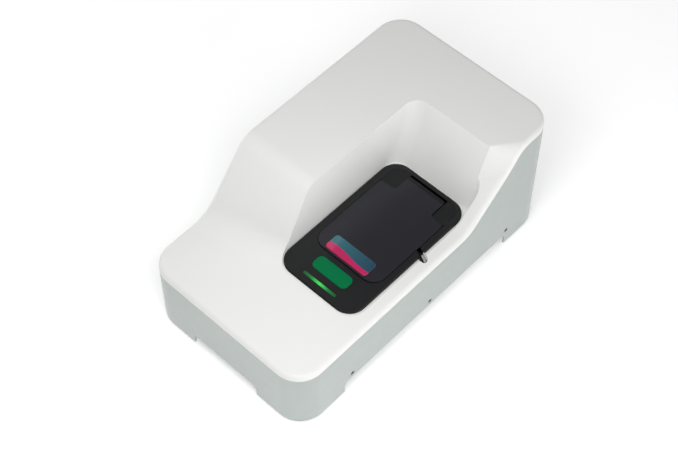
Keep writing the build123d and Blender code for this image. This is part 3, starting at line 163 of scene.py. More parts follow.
class Shader(Nodes):
    """A pen that draws one material's node tree."""

    def __init__(self, name: str) -> None:
        """Starts a material with its surface node.

        Args:
            name: Name of the material.
        """
        self.material = bpy.data.materials.new(name)
        self.material.use_nodes = True
        super().__init__(self.material.node_tree)
        self.surface = self.tree.nodes["Principled BSDF"]
        self.place = self.add("ShaderNodeTexCoord").outputs["Object"]

    def set(self, **values: Value) -> None:
        """Feeds inputs of the surface node, with underscores for spaces in their names."""
        for key, value in values.items():
            self.feed(value, self.surface.inputs[key.replace("_", " ")])

    def mapping(self, kind: str, **values: Triple) -> Socket:
        """Object coordinates, moved, turned and scaled by a mapping of some kind."""
        links = {"Vector": self.place} | values
        return self.add("ShaderNodeMapping", links, vector_type=kind).outputs["Vector"]

    def local(
        self, origin: Triple, turn: float = 0.0, size: Triple = (1.0, 1.0, 1.0)
    ) -> tuple[Socket, ...]:
        """Object coordinates measured from a point of the piece.

        Args:
            origin: Point that is zero.
            turn: Turn about Z in radians.
            size: Length that counts as 1 along each axis.

        Returns:
            The x, y and z outputs.
        """
        rotation = (0.0, 0.0, turn)
        return self.split(self.mapping("TEXTURE", Location=origin, Rotation=rotation, Scale=size))

    def noise(self, size: float, detail: float, place: Socket | None = None) -> Socket:
        """Smooth noise with lumps of a size in metres and a number of finer layers."""
        links = {"Scale": 1 / size, "Detail": detail, "Vector": place or self.place}
        return self.add("ShaderNodeTexNoise", links).outputs["Fac"]

    def cells(self, size: float, **values: object) -> bpy.types.Node:
        """Cells of a size in metres around scattered points."""
        links = {"Scale": 1 / size, "Vector": self.place}
        return self.add("ShaderNodeTexVoronoi", links, **values)

    def mapped(
        self, value: Socket, start: float, end: float, low: float = 0.0, high: float = 1.0
    ) -> Socket:
        """Maps a value from start and end onto low and high, where it stops."""
        links = {"Value": value, "From Min": start, "From Max": end, "To Min": low, "To Max": high}
        return self.add("ShaderNodeMapRange", links).outputs["Result"]

    def spread(self, noise: Socket, low: float, high: float) -> Socket:
        """Maps a noise, which keeps to about 0.3 to 0.7, onto another range."""
        return self.mapped(noise, 0.3, 0.7, low, high)

    def blend(self, share: Socket, first: Socket | Colour, second: Socket | Colour) -> Socket:
        """Mixes two colours, with all of the first at 0 and all of the second at 1."""
        links = {0: share, 6: first, 7: second}
        return self.add("ShaderNodeMix", links, data_type="RGBA").outputs[2]

    def bump(self, height: Socket, depth: float) -> None:
        """Adds a bump to those that the surface has.

        Args:
            height: Output that gives the height from 0 to 1.
            depth: Full depth in metres.
        """
        links = {"Height": height, "Distance": depth, "Strength": 1.0}
        before = self.surface.inputs["Normal"].links
        if before:
            links["Normal"] = before[0].from_socket
        self.set(Normal=self.add("ShaderNodeBump", links).outputs["Normal"])

    def ramp(self, value: Socket, stops: Sequence[tuple[float, Colour]]) -> Socket:
        """Colours a value by stops.

        Args:
            value: Output from 0 to 1.
            stops: Pairs of a place and a colour.

        Returns:
            The colour output.
        """
        node = self.add("ShaderNodeValToRGB", {"Fac": value})
        elements = node.color_ramp.elements
        while len(elements) < len(stops):
            elements.new(0.5)
        for element, (at, colour) in zip(elements, stops):
            element.position = at
            element.color = colour
        return node.outputs["Color"]


@dataclass(frozen=True)
class SpoutPaintedReflection:
    """Painted reflection of the white cover: a pale patch over the far side of the tube spout."""

    start: Triple
    turn: float
    colour: Colour
    from_start: float = 10.0 * MM
    from_axis: float = 0.3 * MM
    fade: float = 0.8 * MM

    def laid(self, pen: Shader, under: Socket) -> Socket:
        """Lays the painted reflection over a colour.

        Args:
            pen: Shader to draw in.
            under: Colour under the painted reflection.

        Returns:
            The combined colour.
        """
        along, across, _ = pen.local(self.start, self.turn)
        share = pen.sum(
            "MULTIPLY",
            pen.mapped(along, self.from_start, self.from_start + self.fade),
            pen.mapped(across, self.from_axis, self.from_axis + self.fade),
        )
        # pale painted reflection beyond the start and past the axis
        return pen.blend(share, under, self.colour)


@dataclass(frozen=True)
class PaintedGapShade:
    """Painted shade: deep black under a height and behind a line, where gaps and slots hold no
    light.
    """

    below: float
    behind: float = 1.0
    fade_below: float = 0.4 * MM
    fade_behind: float = 0.8 * MM

    def laid(self, pen: Shader, over: Socket) -> Socket:
        """Paints shade over a colour in the gap.

        Args:
            pen: Shader to draw in.
            over: Colour outside the painted shade.

        Returns:
            The combined colour.
        """
        _, depth, height = pen.split(pen.place)
        lit = pen.sum(
            "MULTIPLY",
            pen.mapped(height, self.below - self.fade_below, self.below),
            pen.mapped(depth, self.behind, self.behind - self.fade_behind),
        )
        # painted shade: blends to near-black below the height or behind the line
        return pen.blend(lit, PAINTED_SHADE_COLOUR, over)


@dataclass(frozen=True)
class Moulded:
    """Moulded plastic or rubber with a fine grain and faint mottling, and where given a painted
    shade and a painted reflection.
    """

    name: str
    colour: Colour
    roughness: float = 0.45
    grain: float = 0.5 * MM
    grain_depth: float = 0.02 * MM
    mottle: float = 0.04
    gloss: float = 0.0
    gloss_roughness: float = 0.1
    specular: float = 0.5
    painted_shade: PaintedGapShade | None = None
    painted_reflection: SpoutPaintedReflection | None = None
    cloud: float = 60.0 * MM
    rub: float = 9.0 * MM

    def material(self) -> Material:
        """Builds the material.

        Returns:
            The finished material.
        """
        pen = Shader(self.name)
        cloud = pen.noise(self.cloud, detail=4)
        colour = pen.blend(cloud, self.colour, shaded(self.colour, 1 - self.mottle))
        # Painted shade over gaps and slots, where set
        if self.painted_shade:
            colour = self.painted_shade.laid(pen, colour)
        # Painted reflection of the white cover on the spout, where set
        if self.painted_reflection:
            colour = self.painted_reflection.laid(pen, colour)
        rub = pen.noise(self.rub, detail=5)
        pen.set(
            Base_Color=colour,
            Coat_Weight=self.gloss,
            Coat_Roughness=self.gloss_roughness,
            Specular_IOR_Level=self.specular,
            Roughness=pen.spread(rub, self.roughness * 0.9, min(self.roughness * 1.12, 1)),
        )
        pen.bump(pen.noise(self.grain, detail=2), self.grain_depth)
        return pen.material


@dataclass(frozen=True)
class Metal:
    """Bare or plated metal, brushed along one axis."""

    name: str
    colour: Colour
    roughness: float = 0.3
    brushed: Axis = Axis.X
    stretch: float = 40.0
    line: float = 0.4 * MM
    depth: float = 0.01 * MM

    def material(self) -> Material:
        """Builds the material.

        Returns:
            The finished material.
        """
        pen = Shader(self.name)
        scale = [1.0, 1.0, 1.0]
        scale[self.brushed.value] = 1 / self.stretch
        lines = pen.noise(self.line, 3, pen.mapping("POINT", Scale=tuple(scale)))
        pen.set(
            Base_Color=pen.blend(lines, self.colour, shaded(self.colour, 0.82)),
            Metallic=1.0,
            Roughness=pen.spread(lines, self.roughness * 0.8, self.roughness * 1.25),
        )
        pen.bump(lines, self.depth)
        return pen.material


@dataclass(frozen=True)
class SatinPaint:
    """Satin silver paint: fine flakes under a soft coat with a faint orange peel."""

    name: str
    colour: Colour
    metallic: float = 0.45
    roughness: float = 0.42
    flake: float = 0.35 * MM
    flake_depth: float = 0.006 * MM
    peel: float = 3.0 * MM
    peel_depth: float = 0.015 * MM
    rub: float = 14.0 * MM

    def material(self) -> Material:
        """Builds the material.

        Returns:
            The finished material.
        """
        pen = Shader(self.name)
        flakes = pen.cells(self.flake).outputs["Distance"]
        rub = pen.noise(self.rub, detail=4)
        tangent = pen.add("ShaderNodeTangent", direction_type="RADIAL", axis="Z")
        pen.set(
            Base_Color=pen.blend(flakes, shaded(self.colour, 1.12), shaded(self.colour, 0.92)),
            Metallic=self.metallic,
            Roughness=pen.spread(rub, self.roughness * 0.92, self.roughness * 1.1),
            Coat_Weight=0.25,
            Coat_Roughness=0.28,
            Anisotropic=0.8,
            Tangent=tangent.outputs["Tangent"],
        )
        pen.bump(pen.noise(self.peel, detail=2), self.peel_depth)
        pen.bump(pen.noise(self.flake, detail=1), self.flake_depth)
        return pen.material


@dataclass(frozen=True)
class Glass:
    """Clear or mirrored optical surface with a faint coating tint."""

    name: str
    colour: Colour
    mirrored: bool = False
    haze: float = 6.0 * MM

    def material(self) -> Material:
        """Builds the material.

        Returns:
            The finished material.
        """
        pen = Shader(self.name)
        haze = pen.noise(self.haze, detail=3)
        pen.set(
            Base_Color=pen.blend(haze, self.colour, shaded(self.colour, 0.9)),
            Roughness=pen.spread(haze, 0.02, 0.06),
        )
        if self.mirrored:
            pen.set(Metallic=1.0)
        else:
            pen.set(Transmission_Weight=0.9, IOR=1.52)
        return pen.material


@dataclass(frozen=True)
class LightPipe:
    """Clear bar lit from behind, brightest at its middle."""

    name: str
    bright: Colour
    dim: Colour
    middle: Triple
    half: float
    strength: float
    ripple: float = 1.2 * MM
    ripple_depth: float = 0.02 * MM

    def material(self) -> Material:
        """Builds the material.

        Returns:
            The finished material.
        """
        pen = Shader(self.name)
        along, _, _ = pen.local(self.middle, size=(self.half, 1.0, 1.0))
        from_middle = pen.sum("ABSOLUTE", along)
        stops = [(0.0, self.bright), (0.5, self.dim), (1.0, shaded(self.dim, 0.35))]
        glow = pen.ramp(from_middle, stops)
        pen.set(
            Base_Color=glow,
            Emission_Color=glow,
            Emission_Strength=self.strength,
            Roughness=0.3,
            Coat_Weight=0.5,
        )
        pen.bump(pen.noise(self.ripple, detail=2), self.ripple_depth)
        return pen.material


@dataclass(frozen=True)
class WavePlate:
    """Glossy printed plate: two colour fields parted by a slanting wave, with fine bands."""

    name: str
    cool: Colour
    deep: Colour
    warm: Colour
    corner: Triple
    size: tuple[float, float]
    wave_count: float = 5.0
    wave_start: float = 0.6
    wave_height: float = -0.09
    shore: float = 0.36
    shore_fade: float = 0.02
    band_count: float = 9.0
    band_share: float = 0.3
    grain: float = 0.6 * MM
    grain_depth: float = 0.008 * MM

    def material(self) -> Material:
        """Builds the material.

        Returns:
            The finished material.
        """
        pen = Shader(self.name)
        across, along, _ = pen.local(self.corner, size=(self.size[0], self.size[1], 1.0))
        turn = pen.sum("MULTIPLY_ADD", across, self.wave_count, self.wave_start)
        height = pen.sum("MULTIPLY_ADD", pen.sum("SINE", turn), self.wave_height, along)
        band = pen.sum("FRACT", pen.sum("MULTIPLY", height, self.band_count))
        sheen = pen.mapped(band, 0.0, 1.0, 0.0, self.band_share)
        sea = pen.blend(across, self.cool, self.deep)
        banded = pen.blend(sheen, sea, self.cool)
        field_share = pen.mapped(height, self.shore, self.shore + self.shore_fade)
        pen.set(
            Base_Color=pen.blend(field_share, self.warm, banded),
            Roughness=0.18,
            Coat_Weight=0.8,
            Coat_Roughness=0.06,
        )
        pen.bump(pen.noise(self.grain, detail=2), self.grain_depth)
        return pen.material


@dataclass(frozen=True)
class CircuitBoard:
    """Solder mask with a fine weave and lighter tracks."""

    name: str
    mask: Colour
    track: Colour
    pitch: float = 9.0 * MM
    disorder: float = 0.35
    track_half: float = 0.03
    weave: float = 0.8 * MM
    weave_depth: float = 0.02 * MM

    def material(self) -> Material:
        """Builds the material.

        Returns:
            The finished material.
        """
        pen = Shader(self.name)
        cells = pen.cells(self.pitch, feature="DISTANCE_TO_EDGE")
        pen.feed(self.disorder, cells.inputs["Randomness"])
        edge = pen.mapped(cells.outputs["Distance"], self.track_half, 2 * self.track_half)
        pen.set(
            Base_Color=pen.blend(edge, self.track, self.mask), Roughness=0.32, Coat_Weight=0.3
        )
        pen.bump(pen.noise(self.weave, detail=1), self.weave_depth)
        return pen.material


def lid_finishes() -> list[Moulded | LightPipe | WavePlate]:
    """Finishes of the black lid unit, which follow the places of its pieces.

    Returns:
        The finishes.
    """
    label_low, label_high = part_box("lid_label")
    bar_low, bar_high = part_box("light_bar")
    lid_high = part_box("lid_shell")[1]
    label = label_high - label_low
    # Painted reflection: the white cover's colour laid on the far side of the bezel's spout
    painted_reflection = SpoutPaintedReflection((lid_high.x, 16.5 * MM, 0.0), math.radians(-26.6), tone(196, 199, 197))
    return [
        Moulded(
            "bezel_plastic", tone(22, 23, 25), roughness=0.44, mottle=0.08, gloss=0.1,
            # painted shade darkens the bezel below 133.95 mm; the painted reflection lightens its
            # spout
            gloss_roughness=0.3, specular=0.35, painted_shade=PaintedGapShade(below=133.95 * MM), painted_reflection=painted_reflection,
        ),
        Moulded(
            "black_gloss", tone(34, 34, 42), roughness=0.36, grain=0.6 * MM,
            grain_depth=0.008 * MM, mottle=0.16, gloss=0.2, gloss_roughness=0.25, specular=0.35,
            # painted shade darkens the lid's parts below 134.3 mm and its parts behind y 102 mm, at
            # the hinge slot
            painted_shade=PaintedGapShade(below=134.3 * MM, behind=102.0 * MM),
        ),
        Moulded(
            "green_plastic", tone(0, 116, 68), roughness=0.4, grain=0.6 * MM,
            grain_depth=0.01 * MM, mottle=0.08, specular=0.12,
        ),
        LightPipe(
            "light_pipe", tone(52, 178, 72), tone(10, 96, 44),
            middle=tuple((bar_low + bar_high) / 2), half=(bar_high.x - bar_low.x) / 2, strength=0.8,
        ),
        WavePlate(
            "label_plate", tone(48, 110, 120), tone(18, 52, 84), tone(196, 22, 92),
            corner=tuple(label_low), size=(label.x, label.y),
        ),
    ]


def finishes() -> dict[str, Material]:
    """Builds every material.

    Returns:
        The materials, under the names of the record's slots.
    """
    kinds = lid_finishes() + [
        Moulded(
            "white_plastic", tone(241, 241, 239), roughness=0.42, grain=0.45 * MM,
            grain_depth=0.012 * MM, mottle=0.02,
        ),
        SatinPaint("silver_skin", tone(173, 180, 177)),
        Moulded("black_plastic", tone(25, 26, 28), roughness=0.5, mottle=0.08, specular=0.3),
        Moulded(
            "rubber", tone(38, 38, 38), roughness=0.8, grain=0.8 * MM, grain_depth=0.05 * MM,
            mottle=0.1,
        ),
        Metal("steel", tone(190, 190, 192), 0.28),
        Metal("dark_steel", tone(70, 70, 74), 0.4),
        Metal("aluminium", tone(205, 207, 210), 0.32),
        Metal("black_aluminium", tone(40, 41, 44), 0.45, Axis.Y),
        Metal("sheet_metal", tone(178, 181, 184), 0.36, Axis.X, 60.0),
        Metal("brass", tone(205, 170, 100)),
        Glass("glass", tone(235, 245, 245)),
        Glass("mirror", tone(235, 236, 238), mirrored=True),
        CircuitBoard("board", tone(14, 84, 52), tone(60, 130, 84)),
        Moulded("ceramic", tone(226, 226, 220), roughness=0.55, grain=0.4 * MM, mottle=0.05),
    ]
    return {kind.name: kind.material() for kind in kinds}


class Growth(Nodes):
    """A geometry node tree with named sizes that ends in one realised and painted mesh."""

    def __init__(self, name: str, **sizes: float | int | Triple) -> None:
        """Starts the tree and its inputs.

        Args:
            name: Name of the piece that the tree makes.
            **sizes: Named inputs and their values.
        """
        super().__init__(bpy.data.node_groups.new(name + "_tree", "GeometryNodeTree"))
        self.name = name
        self.sizes: dict[str, float | int | Triple] = {}
        sockets = self.tree.interface
        for way in ("OUTPUT", "INPUT"):
            sockets.new_socket("Geometry", in_out=way, socket_type="NodeSocketGeometry")
        kinds = {int: "NodeSocketInt", float: "NodeSocketFloat", tuple: "NodeSocketVector"}
        for label, value in sizes.items():
            socket = sockets.new_socket(label, in_out="INPUT", socket_type=kinds[type(value)])
            self.sizes[socket.identifier] = value
        given = self.add("NodeGroupInput").outputs
        self.start = given["Geometry"]
        self.named = {label: given[label] for label in sizes}

    def plus(self, first: Value, second: Value) -> Socket:
        """Adds two numbers."""
        return self.sum("ADD", first, second)

    def minus(self, first: Value, second: Value) -> Socket:
        """Takes the second number from the first."""
        return self.sum("SUBTRACT", first, second)

    def times(self, first: Value, second: Value) -> Socket:
        """Multiplies two numbers."""
        return self.sum("MULTIPLY", first, second)

    def over(self, first: Value, second: Value) -> Socket:
        """Divides the first number by the second."""
        return self.sum("DIVIDE", first, second)

    def vector(self, x: Value = 0.0, y: Value = 0.0, z: Value = 0.0) -> Socket:
        """Puts three numbers together."""
        return self.add("ShaderNodeCombineXYZ", {"X": x, "Y": y, "Z": z}).outputs[0]

    def cylinder(self, sides: Value, radius: Value, depth: Value) -> Socket:
        """Makes a cylinder along Z about the origin."""
        links = {"Vertices": sides, "Radius": radius, "Depth": depth}
        return self.add("GeometryNodeMeshCylinder", links).outputs["Mesh"]

    def moved(self, shape: Socket, by: Value, turn: Triple = (0.0, 0.0, 0.0)) -> Socket:
        """Turns a shape, then moves it."""
        links = {"Geometry": shape, "Translation": by, "Rotation": turn}
        return self.add("GeometryNodeTransform", links).outputs[0]

    def raised(self, shape: Socket, height: Value) -> Socket:
        """Moves a shape up."""
        return self.moved(shape, self.vector(z=height))

    def set_out(self, points: Socket, shape: Socket, turn: Socket) -> Socket:
        """Sets a shape out on points, each turned in its own way."""
        links = {"Points": points, "Instance": shape, "Rotation": turn}
        return self.add("GeometryNodeInstanceOnPoints", links).outputs[0]

    def spun(self, shape: Socket, count: str) -> Socket:
        """Repeats a shape in even turns about Z.

        Args:
            shape: Shape to repeat.
            count: Name of the size that holds their number.

        Returns:
            The copies.
        """
        line = self.add("GeometryNodeMeshLine", {"Count": count, "Offset": (0.0, 0.0, 0.0)})
        index = self.add("GeometryNodeInputIndex").outputs[0]
        turn = self.vector(z=self.times(index, self.over(math.tau, count)))
        return self.set_out(line.outputs[0], shape, turn)

    def joined(self, *shapes: Socket) -> Socket:
        """Joins shapes and leaves each as it is.

        Args:
            *shapes: Shapes to join.

        Returns:
            All of them together.
        """
        node = self.add("GeometryNodeJoinGeometry")
        for shape in shapes:
            self.feed(shape, node.inputs[0])
        return node.outputs[0]

    def fused(self, *shapes: Socket) -> Socket:
        """Fuses closed shapes that overlap.

        Args:
            *shapes: Shapes to fuse.

        Returns:
            One closed shape.
        """
        node = self.add("GeometryNodeMeshBoolean", operation="UNION")
        for shape in shapes:
            self.feed(shape, node.inputs["Mesh 2"])
        return node.outputs["Mesh"]

    def grow(
        self, shape: Socket, material: Material, start: bpy.types.Mesh | None = None
    ) -> Piece:
        """Ends the tree and turns its result into a plain mesh.

        Args:
            shape: Output that holds the finished form.
            material: Material of the whole piece.
            start: Mesh that the tree starts from, if it needs one.

        Returns:
            The finished piece.
        """
        realised = self.add("GeometryNodeRealizeInstances", {"Geometry": shape}).outputs[0]
        links = {"Geometry": realised, "Material": material}
        painted = self.add("GeometryNodeSetMaterial", links).outputs[0]
        self.add("NodeGroupOutput", {"Geometry": painted})
        base = start or bpy.data.meshes.new(self.name + "_start")
        piece = bpy.data.objects.new(self.name, base)
        bpy.context.scene.collection.objects.link(piece)
        growth = piece.modifiers.new("growth", "NODES")
        growth.node_group = self.tree
        for key, value in self.sizes.items():
            growth[key] = value
        graph = bpy.context.evaluated_depsgraph_get()
        plain = bpy.data.meshes.new_from_object(piece.evaluated_get(graph))
        plain.name = self.name
        piece.modifiers.remove(growth)
        piece.data = plain
        return piece


@dataclass(frozen=True)
class ScrewSpot:
    """Where one screw sits: the middle of its outer face, its way in and its whole length."""

    outer: Vector
    inward: Vector
    length: float


@dataclass(frozen=True)
class ScrewForm:
    """Pan-head screws with a hexagon socket, one at each spot."""

    head_radius: float = 3.6 * MM
    head_height: float = 2.2 * MM
    shank_radius: float = 2.0 * MM
    socket_radius: float = 1.5 * MM
    face_share: float = 0.8
    crown_share: float = 0.98
    crown_height: float = 0.5
    brim_height: float = 0.6
    socket_depth: float = 0.55
    shank_in_head: float = 0.35
    head_sides: int = 32
    shank_sides: int = 20
    socket_sides: int = 6

    def build(self, name: str, spots: list[ScrewSpot], material: Material) -> Piece:
        """Grows the screws.

        Args:
            name: Name of the piece.
            spots: Places of the screws, which are all of one length.
            material: Material of the screws.

        Returns:
            The finished piece.
        """
        start = bpy.data.meshes.new(name + "_spots")
        start.from_pydata([tuple(spot.outer) for spot in spots], [], [])
        aims = start.attributes.new("aim", "FLOAT_VECTOR", "POINT")
        aims.data.foreach_set("vector", [part for spot in spots for part in spot.inward])
        tree = Growth(name, **asdict(self), shank_length=spots[0].length - self.head_height)
        links = {"Name": "aim"}
        aim = tree.add("GeometryNodeInputNamedAttribute", links, data_type="FLOAT_VECTOR")
        links = {"Vector": aim.outputs[0]}
        turn = tree.add("FunctionNodeAlignRotationToVector", links, axis="Z").outputs[0]
        return tree.grow(tree.set_out(tree.start, self.screw(tree), turn), material, start)

    def screw(self, tree: Growth) -> Socket:
        """Makes one screw that starts at the origin and runs up Z.

        Args:
            tree: Tree to grow it in.

        Returns:
            The closed screw.
        """
        links = {
            "Vertices": "head_sides",
            "Radius Bottom": tree.times("head_radius", "face_share"),
            "Radius Top": tree.times("head_radius", "crown_share"),
            "Depth": tree.times("head_height", "crown_height"),
        }
        crown = tree.add("GeometryNodeMeshCone", links).outputs["Mesh"]
        brim_run = tree.times("head_height", "brim_height")
        brim = tree.cylinder("head_sides", "head_radius", brim_run)
        brim = tree.raised(brim, tree.minus("head_height", tree.times(brim_run, 0.5)))
        run = tree.plus("shank_length", tree.times("head_height", "shank_in_head"))
        end = tree.plus("head_height", "shank_length")
        shank = tree.cylinder("shank_sides", "shank_radius", run)
        shank = tree.raised(shank, tree.minus(end, tree.times(run, 0.5)))
        socket_run = tree.times("head_height", tree.times("socket_depth", 2.0))
        socket = tree.cylinder("socket_sides", "socket_radius", socket_run)
        links = {"Mesh 1": tree.fused(crown, brim, shank), "Mesh 2": socket}
        return tree.add("GeometryNodeMeshBoolean", links, operation="DIFFERENCE").outputs["Mesh"]


@dataclass(frozen=True)
class RotorForm:
    """Fan rotor: a round hub with cambered, twisted blades."""

    hub_radius: float = 15.0 * MM
    tip_radius: float = 36.4 * MM
    chord: float = 14.0 * MM
    camber: float = 1.3 * MM
    thickness: float = 1.2 * MM
    pitch: float = 0.72
    twist: float = 11.0
    blades: int = 7
    root_overlap: float = 0.5 * MM
    weld: float = 0.01 * MM
    hub_sides: int = 48
    span_points: int = 10
    chord_points: int = 9

    def build(self, name: str, middle: Vector, depth: float, material: Material) -> Piece:
        """Grows the rotor.

        Args:
            name: Name of the piece.
            middle: Middle of the hub, on the fan's axis.
            depth: Length of the hub along the axis.
            material: Material of the rotor.

        Returns:
            The finished piece.
        """
        tree = Growth(name, **asdict(self), hub_depth=depth, middle=tuple(middle))
        links = {"Geometry": tree.spun(self.blade(tree), "blades")}
        ring = tree.add("GeometryNodeRealizeInstances", links).outputs[0]
        whole = tree.fused(ring, tree.cylinder("hub_sides", "hub_radius", "hub_depth"))
        return tree.grow(tree.moved(whole, "middle", (-math.pi / 2, 0.0, 0.0)), material)

    def blade(self, tree: Growth) -> Socket:
        """Makes one blade along X, from the hub to the tip.

        Args:
            tree: Tree to grow it in.

        Returns:
            The closed blade.
        """
        span = tree.plus(tree.minus("tip_radius", "hub_radius"), "root_overlap")
        links = {
            "Size X": span, "Size Y": "chord", "Vertices X": "span_points",
            "Vertices Y": "chord_points",
        }
        grid = tree.add("GeometryNodeMeshGrid", links).outputs["Mesh"]
        along, across, _ = tree.split(tree.add("GeometryNodeInputPosition").outputs[0])
        share = tree.over(tree.times(across, 2.0), "chord")
        lift = tree.times(tree.minus(1.0, tree.times(share, share)), "camber")
        angle = tree.minus("pitch", tree.times(along, "twist"))
        links = {"Vector": tree.vector(along, across, lift), "Angle": angle}
        turned = tree.add("ShaderNodeVectorRotate", links, rotation_type="X_AXIS").outputs[0]
        links = {"Geometry": grid, "Position": turned}
        shaped = tree.add("GeometryNodeSetPosition", links).outputs[0]
        links = {"Mesh": shaped, "Offset Scale": "thickness", "Individual": False}
        upper = tree.add("GeometryNodeExtrudeMesh", links, mode="FACES").outputs["Mesh"]
        under = tree.add("GeometryNodeFlipFaces", {"Mesh": shaped}).outputs[0]
        links = {"Geometry": tree.joined(upper, under), "Distance": "weld"}
        closed = tree.add("GeometryNodeMergeByDistance", links).outputs[0]
        reach = tree.times(tree.plus("tip_radius", "hub_radius"), 0.5)
        return tree.moved(closed, tree.vector(x=reach))


@dataclass(frozen=True)
class LeadScrewForm:
    """Lead screw along X: a core, a rounded thread and a thrust collar."""

    core_radius: float = 2.6 * MM
    thread_radius: float = 0.4 * MM
    lead: float = 4.0 * MM
    starts: int = 2
    collar_radius: float = 5.0 * MM
    collar_width: float = 3.0 * MM
    collar_at: float = 2.0 * MM
    core_sides: int = 32
    collar_sides: int = 40
    ridge_sides: int = 8
    points_a_turn: int = 20

    def build(self, name: str, motor_end: Vector, length: float, material: Material) -> Piece:
        """Grows the lead screw.

        Args:
            name: Name of the piece.
            motor_end: End of the screw at its motor.
            length: Whole length.
            material: Material of the screw.

        Returns:
            The finished piece.
        """
        tree = Growth(name, **asdict(self), length=length, motor_end=tuple(motor_end))
        core = tree.cylinder("core_sides", "core_radius", "length")
        collar = tree.cylinder("collar_sides", "collar_radius", "collar_width")
        whole = tree.joined(
            tree.spun(self.thread(tree), "starts"),
            tree.raised(core, tree.times("length", 0.5)),
            tree.raised(collar, tree.plus("collar_at", tree.times("collar_width", 0.5))),
        )
        return tree.grow(tree.moved(whole, "motor_end", (0.0, math.pi / 2, 0.0)), material)

    def thread(self, tree: Growth) -> Socket:
        """Winds one ridge round the core.

        Args:
            tree: Tree to grow it in.

        Returns:
            The closed ridge.
        """
        links = {
            "Resolution": "points_a_turn",
            "Rotations": tree.over("length", "lead"),
            "Start Radius": "core_radius",
            "End Radius": "core_radius",
            "Height": "length",
        }
        path = tree.add("GeometryNodeCurveSpiral", links).outputs[0]
        links = {"Resolution": "ridge_sides", "Radius": "thread_radius"}
        ridge = tree.add("GeometryNodeCurvePrimitiveCircle", links).outputs[0]
        links = {"Curve": path, "Profile Curve": ridge, "Fill Caps": True}
        return tree.add("GeometryNodeCurveToMesh", links).outputs[0]


@dataclass(frozen=True)
class SmallPartsForm:
    """Small board parts scattered over the free areas of a circuit board."""

    length: float = 3.2 * MM
    width: float = 1.6 * MM
    height: float = 0.9 * MM
    spacing: float = 6.0 * MM
    density: float = 30000.0
    seed: int = 7

    def build(self, name: str, start: bpy.types.Mesh, material: Material) -> Piece:
        """Grows the small parts.

        Args:
            name: Name of the piece.
            start: Mesh whose faces are free to hold them.
            material: Material of the parts.

        Returns:
            The finished piece.
        """
        tree = Growth(name, **asdict(self))
        scatter = tree.add(
            "GeometryNodeDistributePointsOnFaces",
            {
                "Mesh": tree.start, "Distance Min": "spacing", "Density Max": "density",
                "Seed": "seed",
            },
            distribute_method="POISSON",
        )
        size = tree.vector("length", "width", "height")
        block = tree.add("GeometryNodeMeshCube", {"Size": size}).outputs["Mesh"]
        links = {"Min": 0, "Max": 3, "Seed": "seed"}
        quarters = tree.add("FunctionNodeRandomValue", links, data_type="INT").outputs[2]
        turn = tree.vector(z=tree.times(quarters, math.pi / 2))
        seated = tree.raised(block, tree.times("height", 0.5))
        return tree.grow(tree.set_out(scatter.outputs["Points"], seated, turn), material, start)


